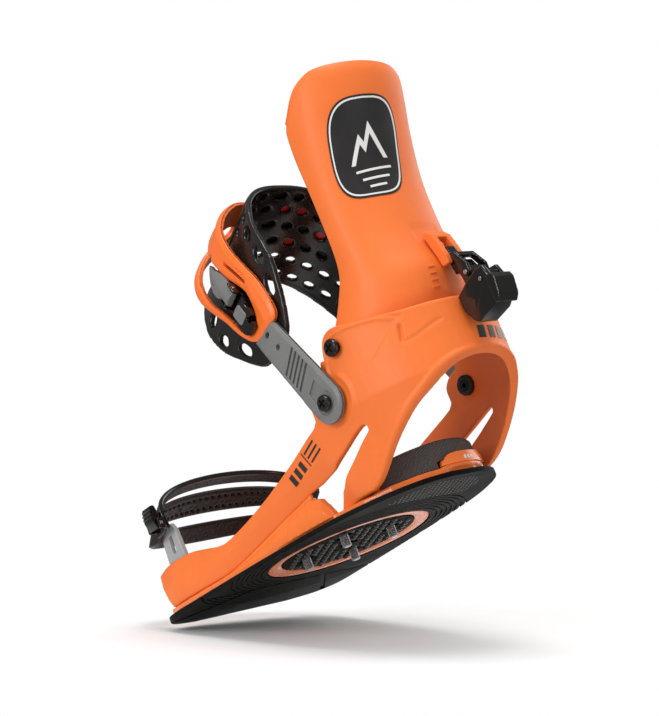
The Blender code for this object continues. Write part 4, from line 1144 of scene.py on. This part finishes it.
def ladder():
    """Far strap end with a row of fine teeth for the ratchet."""
    blade = [(10, 11), (60, 10.6), (116, 10.6), (125, 8), (125, -8), (116, -10.6), (60, -10.6), (10, -11)]
    outline = [(ARCH_END - a, c) for a, c in arc(11, -90, 91, 9, -1) + blade]
    holes = [slab(circle((ARCH_END, 0), 3.1, 24), -3, 9)]
    gaps = [ARCH_END - (22 + 2.8 * k) for k in range(34)]
    holes.append(merged([slab(box_outline((a - 1.4, -7.5), (a, 7.5)), 1.9, 9) for a in gaps]))
    obj = bent("strap_ladder", [slab(outline, 0.1, 2.6)], holes, arch, 0.55, 1)
    dress(obj, GREY, "ankle_strap", ["ankle_ladder"])


def adjuster():
    """Clip with its forked tip, and the arrow-shaped grey lever over it."""
    base = [slab(box_outline(low, high, radius), bottom, top) for low, high, radius, bottom, top in (
        ((86, -6.6), (104, 6.6), 1.5, 0.7, 3.0), ((76.5, -6.3), (90, 6.3), 1.2, 1.2, 4.8),
        ((91.5, 5.7), (99, 7.0), 0.5, 2.6, 9.6), ((91.5, -7.0), (99, -5.7), 0.5, 2.6, 9.6))]
    block = [(71, -5.2), (70.2, 1.5), (73.4, 3.2), (74.5, 0.2), (77, 1.2), (75.6, 5.5), (79, 7.2), (84, 6.6),
             (86, 1), (84, -6), (78, -8), (73.5, -7.5)]
    base.append(slab(block, 4.7, 8.4))
    obj = to_object("strap_clip", merged(base))
    soften(obj, 0.42, 1)
    set_vertices(obj, [arch(*p) for p in vertex_array(obj)[0]])
    face_out(obj)
    cut(obj, rod(95, 7.4, 1.4, -30, 30))
    dress(obj, GLOSS_BLACK, "ankle_strap", ["ankle_clip"], sharp=40)
    cap = bent("clip_cap", [slab(box_outline((77.5, -4.6), (85.5, 3.8), 1.4), 8.0, 9.4)], [], arch, 0.35, 1)
    dress(cap, GREY, "ankle_strap")
    arrow = [(92.7, -4.8), (92.7, 4.8), (105, 4.8), (111, 3.4), (119, -0.5), (129, -4.5), (129, -6.5), (119, -9.4),
             (109, -10.2), (104, -9.2), (101.4, -7.5), (101.4, -4.8)]
    notches = [slab([(130, -0.6), (111, 0.2), (130, 2)], 0, 20),
               slab([(116, -7.2), (104, -5.9), (116, -5.6)], 7.0, 20)]

    def shape(x, y, z, flat):
        ridge = np.clip(np.abs(y + 1.0 + 0.09 * (x - 100)) / 6, 0, 1)
        return z - np.where(z > 6.4, 1.6 * ridge ** 1.4 + 2.4 * ramp(x, 112, 138), 0)
    pinhole = prism(circle((95, 7.4), 1.4, 20), "Y", -30, 30)
    lever = bent("strap_adjuster_lever", [slab(arrow, 5.1, 9.6)], notches + [pinhole], arch, 0.42, 1, shape)
    dress(lever, GREY, "adjuster_lever", ["adjuster_lever"], sharp=40)


def rod(along, out, radius, low, high):
    """Round bar across the strap."""
    a, b = Vector(arch(along, low, out)), Vector(arch(along, high, out))
    u = Vector((1, 0, 0))
    v = (b - a).normalized().cross(u)
    ring = [radius * (u * math.cos(t) + v * math.sin(t)) for t in turns(20)]
    return loft([[a + r for r in ring], [b + r for r in ring]])


ankle_pad()
exo_frame()
connector()
ladder()
adjuster()


# ------------------------ toe strap

CAP_HALF, CAP_DEPTH = 80, 46    # the toe cap laid flat: half its length, and rear edge to front edge


def toe_cap_point(across, down, out):
    """Point of the toe cap; across runs from 1 (near end) to -1, down from 0 (rear edge) to 1 (front)."""
    a = max(-1.0, min(1.0, across)) * math.pi / 2
    reach = max(math.cos(a), 0) ** 0.82
    near_y, near_z = -80 - 18 * down, 61 - 13 * down
    mid_y, mid_z = -96 - 40 * down ** 1.1, 87.5 - 32 * down ** 1.6
    lift = (out * 0.5 * reach, out * (0.5 + 0.5 * reach))
    return ((64.6 + out) * math.sin(a), near_y + (mid_y - near_y) * reach - lift[0],
            near_z + (mid_z - near_z) * reach + lift[1])


def toe_warp(x, y, z):
    """Flat toe cap coordinates in mm, turned into place."""
    return toe_cap_point(x / CAP_HALF, max(0.0, y / CAP_DEPTH), z)


def toe_cap():
    """Three bands that meet at both ends, with a glossy bead along the rear edge."""
    outline = box_outline((-CAP_HALF, 0), (CAP_HALF, CAP_DEPTH), 5)
    holes = []
    for low, high in ((11, 16.6), (30.4, 36.8)):
        middle = (low + high) / 2
        slit = [(-53, middle), (-44, low), (44, low), (53, middle), (44, high), (-44, high)]
        holes.append(slab(rounded(slit, 2.5), -4, 8))
    dots = [slab(oval(4.4 * i + (2.2 if y == 23.8 else 0), y, 1.15, 0.8, 0, 8), -4, 8)
            for i in range(-9, 10) for y in (20.4, 23.8, 27.2)]
    holes.append(merged(dots))

    def shape(x, y, z, flat):
        return z + np.where(z > 1.3, 0.3 * np.exp(-((y - 23.8) / 5.5) ** 2), 0)
    cap = bent("toe_cap_bands", [slab(outline, 0.1, 2.5)], holes, toe_warp, 0.62, 1, shape)
    dress(cap, MESH_BLACK, "toe_strap", ["toe_cap"])
    rings = []
    for i in range(81):
        across = 0.93 - 1.86 * i / 80
        c, after, before, below = (Vector(toe_cap_point(across + a, d, 1.6))
                                   for a, d in ((0, 0.035), (-0.01, 0.035), (0.01, 0.035), (0, 0.2)))
        u = (below - c).normalized()
        v = (after - before).normalized().cross(u)
        rings.append([c + 2.3 * u * math.cos(t) + 1.7 * v * math.sin(t) for t in turns(12)])
    dress(to_object("toe_cap_bead", loft(rings)), GLOSS_BLACK, "toe_strap", sharp=50)
    rings = []
    for i in range(81):
        across = 0.78 - 1.56 * i / 80
        rings.append([toe_cap_point(across, d, o) for d, o in ((0.40, 2.3), (0.47, 3.1), (0.56, 3.3), (0.63, 2.3))])
    dress(to_object("toe_cap_rib", loft(rings)), PAD_BLACK, "toe_strap", sharp=50)


def toe_thumb():
    """Fluted thumb lever of the toe clip."""
    x, z = 73.2, 58.5
    profile = [(-1.9, -0.5), (-1, -2.3), (2, -2.7), (3.4, 1.0), (4.4, 4.5), (4.3, 8.5), (3.3, 12.5), (0.8, 13.0),
               (-0.6, 12.5), (-1.6, 8), (-1.9, 4.5)]
    obj = to_object("toe_thumb_lever", prism([(x + a, z + b) for a, b in profile], "Y", -91, -81.6))
    flutes = [turned([(1.0, -93), (1.0, -79)], "Y", (x + 5.1 - 0.08 * k * k, z + 2.2 + 2.5 * k), 12)
              for k in range(5)]
    cut(obj, merged(flutes))
    cut(obj, turned([(1.4, -97), (1.4, -75)], "Y", (x, z), 20))
    add_bevel(obj, 0.35, 2)
    bake(obj)
    dress(obj, GLOSS_BLACK, "toe_lever", ["toe_lever"], sharp=40)


toe_cap()
toe_thumb()


# ------------------------ heel latch and tray rib

def latch_block():
    """Faceted block on the rear of the hoop with the slot of its small lever."""
    side = [(166.5, 89), (167, 79.5), (172, 71), (175, 68.8), (188, 71.5), (195.6, 77.5), (194, 90), (191.5, 96.6),
            (186, 97), (176, 93.6)]
    rings = []
    for x, shrink in ((-7.6, 0.93), (-6.9, 1.0), (6.9, 1.0), (7.6, 0.93)):
        rings.append([(x, 180 + (y - 180) * shrink, 82 + (z - 82) * shrink) for y, z in side])
    obj = to_object("latch_block", loft(rings))
    cut(obj, prism([(183.6, 84), (200, 84), (200, 100), (183.6, 100)], "X", -4.2, 4.2))
    cut(obj, turned([(1.5, -20), (1.5, 20)], "X", (187.8, 90), 20))
    add_bevel(obj, 0.6, 3)
    bake(obj)
    dress(obj, GLOSS_BLACK, "base", ["latch_housing"], sharp=50)


def tray_web():
    """Thin rib of the tray behind the arm, which closes the joint line under it."""
    for side, name in ((1, "near"), (-1, "far")):
        rings = []
        for k in range(25):
            y = -58 + 96 * k / 24
            z = table(y, ARM_UNDER, 1)
            x = arm_face(y, z, 0)[0]
            low = max(7.0, z - 3.5)
            outer, inner, top = side * (x - 3.9), side * (x - 5.6), z + 1.6
            rings.append([(outer, y, low), (outer, y, top), (inner, y, top), (inner, y, low)])
        dress(to_object(f"tray_web_{name}", loft(rings)), GLOSS_ORANGE, "base", sharp=50)


latch_block()
tray_web()


# ------------------------ CAD nodes that keep their shape

dress_node("base_tray", GLOSS_ORANGE, voxel=VOXEL, rounds=3)
for node in NODES:
    if "tray_screw" in node or node.endswith("_pin") or node.startswith("toe_pin"):
        dress_node(node, DARK_STEEL if "toe_pin_" in node else STEEL, bevel=0.2)
for node, mat, bevel in (("toe_ramp", ORANGE, 1.0), ("mounting_disc", DISC_BLACK, 0.4), ("release_tab", GREY, 0.7),
                         ("ankle_nut_near", DARK_STEEL, 0.5), ("ankle_nut_far", DARK_STEEL, 0.5)):
    dress_node(node, mat, bevel=bevel)
for node, mat, voxel, rounds in (("lean_bracket", ORANGE, 0.5, 2), ("lean_block", GLOSS_BLACK, 0.45, 3),
                                 ("lean_lever", GLOSS_BLACK, 0.45, 3), ("toe_clip", GLOSS_BLACK, 0.45, 3),
                                 ("latch_lever", GLOSS_BLACK, 0.45, 5), ("ratchet_body", BLACK, 0.6, 3),
                                 ("ratchet_lever", BLACK, 0.6, 3), ("toe_connector_near", SILVER, 0.45, 3),
                                 ("toe_connector_far", SILVER, 0.45, 3)):
    dress_node(node, mat, voxel=voxel, rounds=rounds)


# ------------------------ camera, floor and light

# station, aim and roll of the photograph's camera
AZIMUTH, BELOW, ROLL = math.radians(45.68), math.radians(16.11), math.radians(21.05)
STATION = Vector((697.7, 758.3, -178.8)) * MM
back = Vector((math.cos(AZIMUTH) * math.cos(BELOW), math.sin(AZIMUTH) * math.cos(BELOW), -math.sin(BELOW)))
level = (-back).cross(Vector((0, 0, 1))).normalized()
rise = level.cross(-back)
right = level * math.cos(ROLL) - rise * math.sin(ROLL)
up = level * math.sin(ROLL) + rise * math.cos(ROLL)
camera = bpy.data.cameras.new("camera")
camera.sensor_fit = "AUTO"
camera.sensor_width = 36.0
camera.lens = 83.37
camera.clip_start, camera.clip_end = 0.01, 20.0
camera_object = bpy.data.objects.new("camera", camera)
camera_object.matrix_world = Matrix.Translation(STATION) @ Matrix((right, up, back)).transposed().to_4x4()
bpy.context.scene.collection.objects.link(camera_object)
bpy.context.scene.camera = camera_object


def floor():
    """Pale floor, level in the picture; it shows from above only, so that it hides nothing from below."""
    normal = Vector((-0.1115, 0.4005, 0.9095)).normalized()
    touch = Vector((70, -118, 0)) * MM - normal * 0.002
    across = normal.cross(back).normalized()
    along = across.cross(normal)
    bm = bmesh.new()
    bm.faces.new([bm.verts.new(touch + across * a + along * b) for a, b in box_outline((-1.6, -1.4), (1.6, 1.4))])
    obj = to_object("floor", bm)
    if obj.data.polygons[0].normal.dot(normal) < 0:
        obj.data.flip_normals()
    mat = bpy.data.materials.new("floor")
    n = Nodes(mat)
    n.shader.inputs["Base Color"].default_value = (0.93, 0.93, 0.93, 1)
    n.shader.inputs["Roughness"].default_value = 0.9
    n.shader.inputs["Specular IOR Level"].default_value = 0.0
    # clear from below, and fading out round the object
    centre = Vector((0.0, -0.05, -0.05))
    where = n.new("ShaderNodeNewGeometry")
    gap = n.tree.nodes.new("ShaderNodeVectorMath")
    gap.operation = "DISTANCE"
    n.plug(gap, 0, where.outputs["Position"])
    n.plug(gap, 1, centre - normal * (centre - touch).dot(normal))
    fade = n.spread(gap.outputs["Value"], 0.16, 0.30, 0.0, 1.0)
    fade.interpolation_type = "SMOOTHSTEP"
    blend = n.tree.nodes.new("ShaderNodeMixShader")
    unseen = n.math("MAXIMUM", where.outputs["Backfacing"], fade)
    for index, value in enumerate((unseen, n.shader, n.new("ShaderNodeBsdfTransparent"))):
        n.plug(blend, index, value)
    n.plug(n.tree.nodes["Material Output"], "Surface", blend)
    obj.data.materials.append(mat)


def area_light(name, place_at, size, power, target=(0, 0.03, 0.1)):
    """Rectangular lamp that faces the target."""
    data = bpy.data.lights.new(name, "AREA")
    data.shape = "RECTANGLE"
    data.size, data.size_y = size
    data.energy = power
    obj = bpy.data.objects.new(name, data)
    obj.location = place_at
    obj.rotation_mode = "QUATERNION"
    obj.rotation_quaternion = (Vector(target) - Vector(place_at)).to_track_quat("-Z", "Y")
    bpy.context.scene.collection.objects.link(obj)


floor()
area_light("key", back * 1.0 - right * 0.9 + up * 0.5, (0.7, 0.7), 9.5)
area_light("fill", back * 0.9 + right * 1.1 + up * 0.1, (0.35, 1.1), 1.8)
area_light("top", up * 1.4 + right * 0.1, (0.9, 0.9), 1.6)
area_light("rim", -back * 0.9 + right * 0.9 + up * 0.6, (0.9, 0.9), 4.5)
area_light("floor_wash", up * 1.3 + back * 0.15, (0.5, 0.5), 6, target=(0.05, -0.1, -0.08))


def studio_world():
    """White behind the object, dim grey for everything it lights and mirrors."""
    world = bpy.data.worlds.new("studio")
    n = Nodes(world)
    seen, unseen = n.tree.nodes["Background"], n.new("ShaderNodeBackground")
    paths = n.new("ShaderNodeLightPath")
    for node in (seen, unseen):
        node.inputs["Color"].default_value = (1, 1, 1, 1)
    seen.inputs["Strength"].default_value = 1.0
    n.plug(unseen, "Strength", n.spread(paths.outputs["Is Diffuse Ray"], 0, 1, 0.22, 0.60))
    mix = n.tree.nodes.new("ShaderNodeMixShader")
    for index, value in enumerate((paths.outputs["Is Camera Ray"], unseen, seen)):
        n.plug(mix, index, value)
    n.plug(n.tree.nodes["World Output"], "Surface", mix)
    bpy.context.scene.world = world


studio_world()
bpy.context.scene.view_settings.view_transform = "Standard"
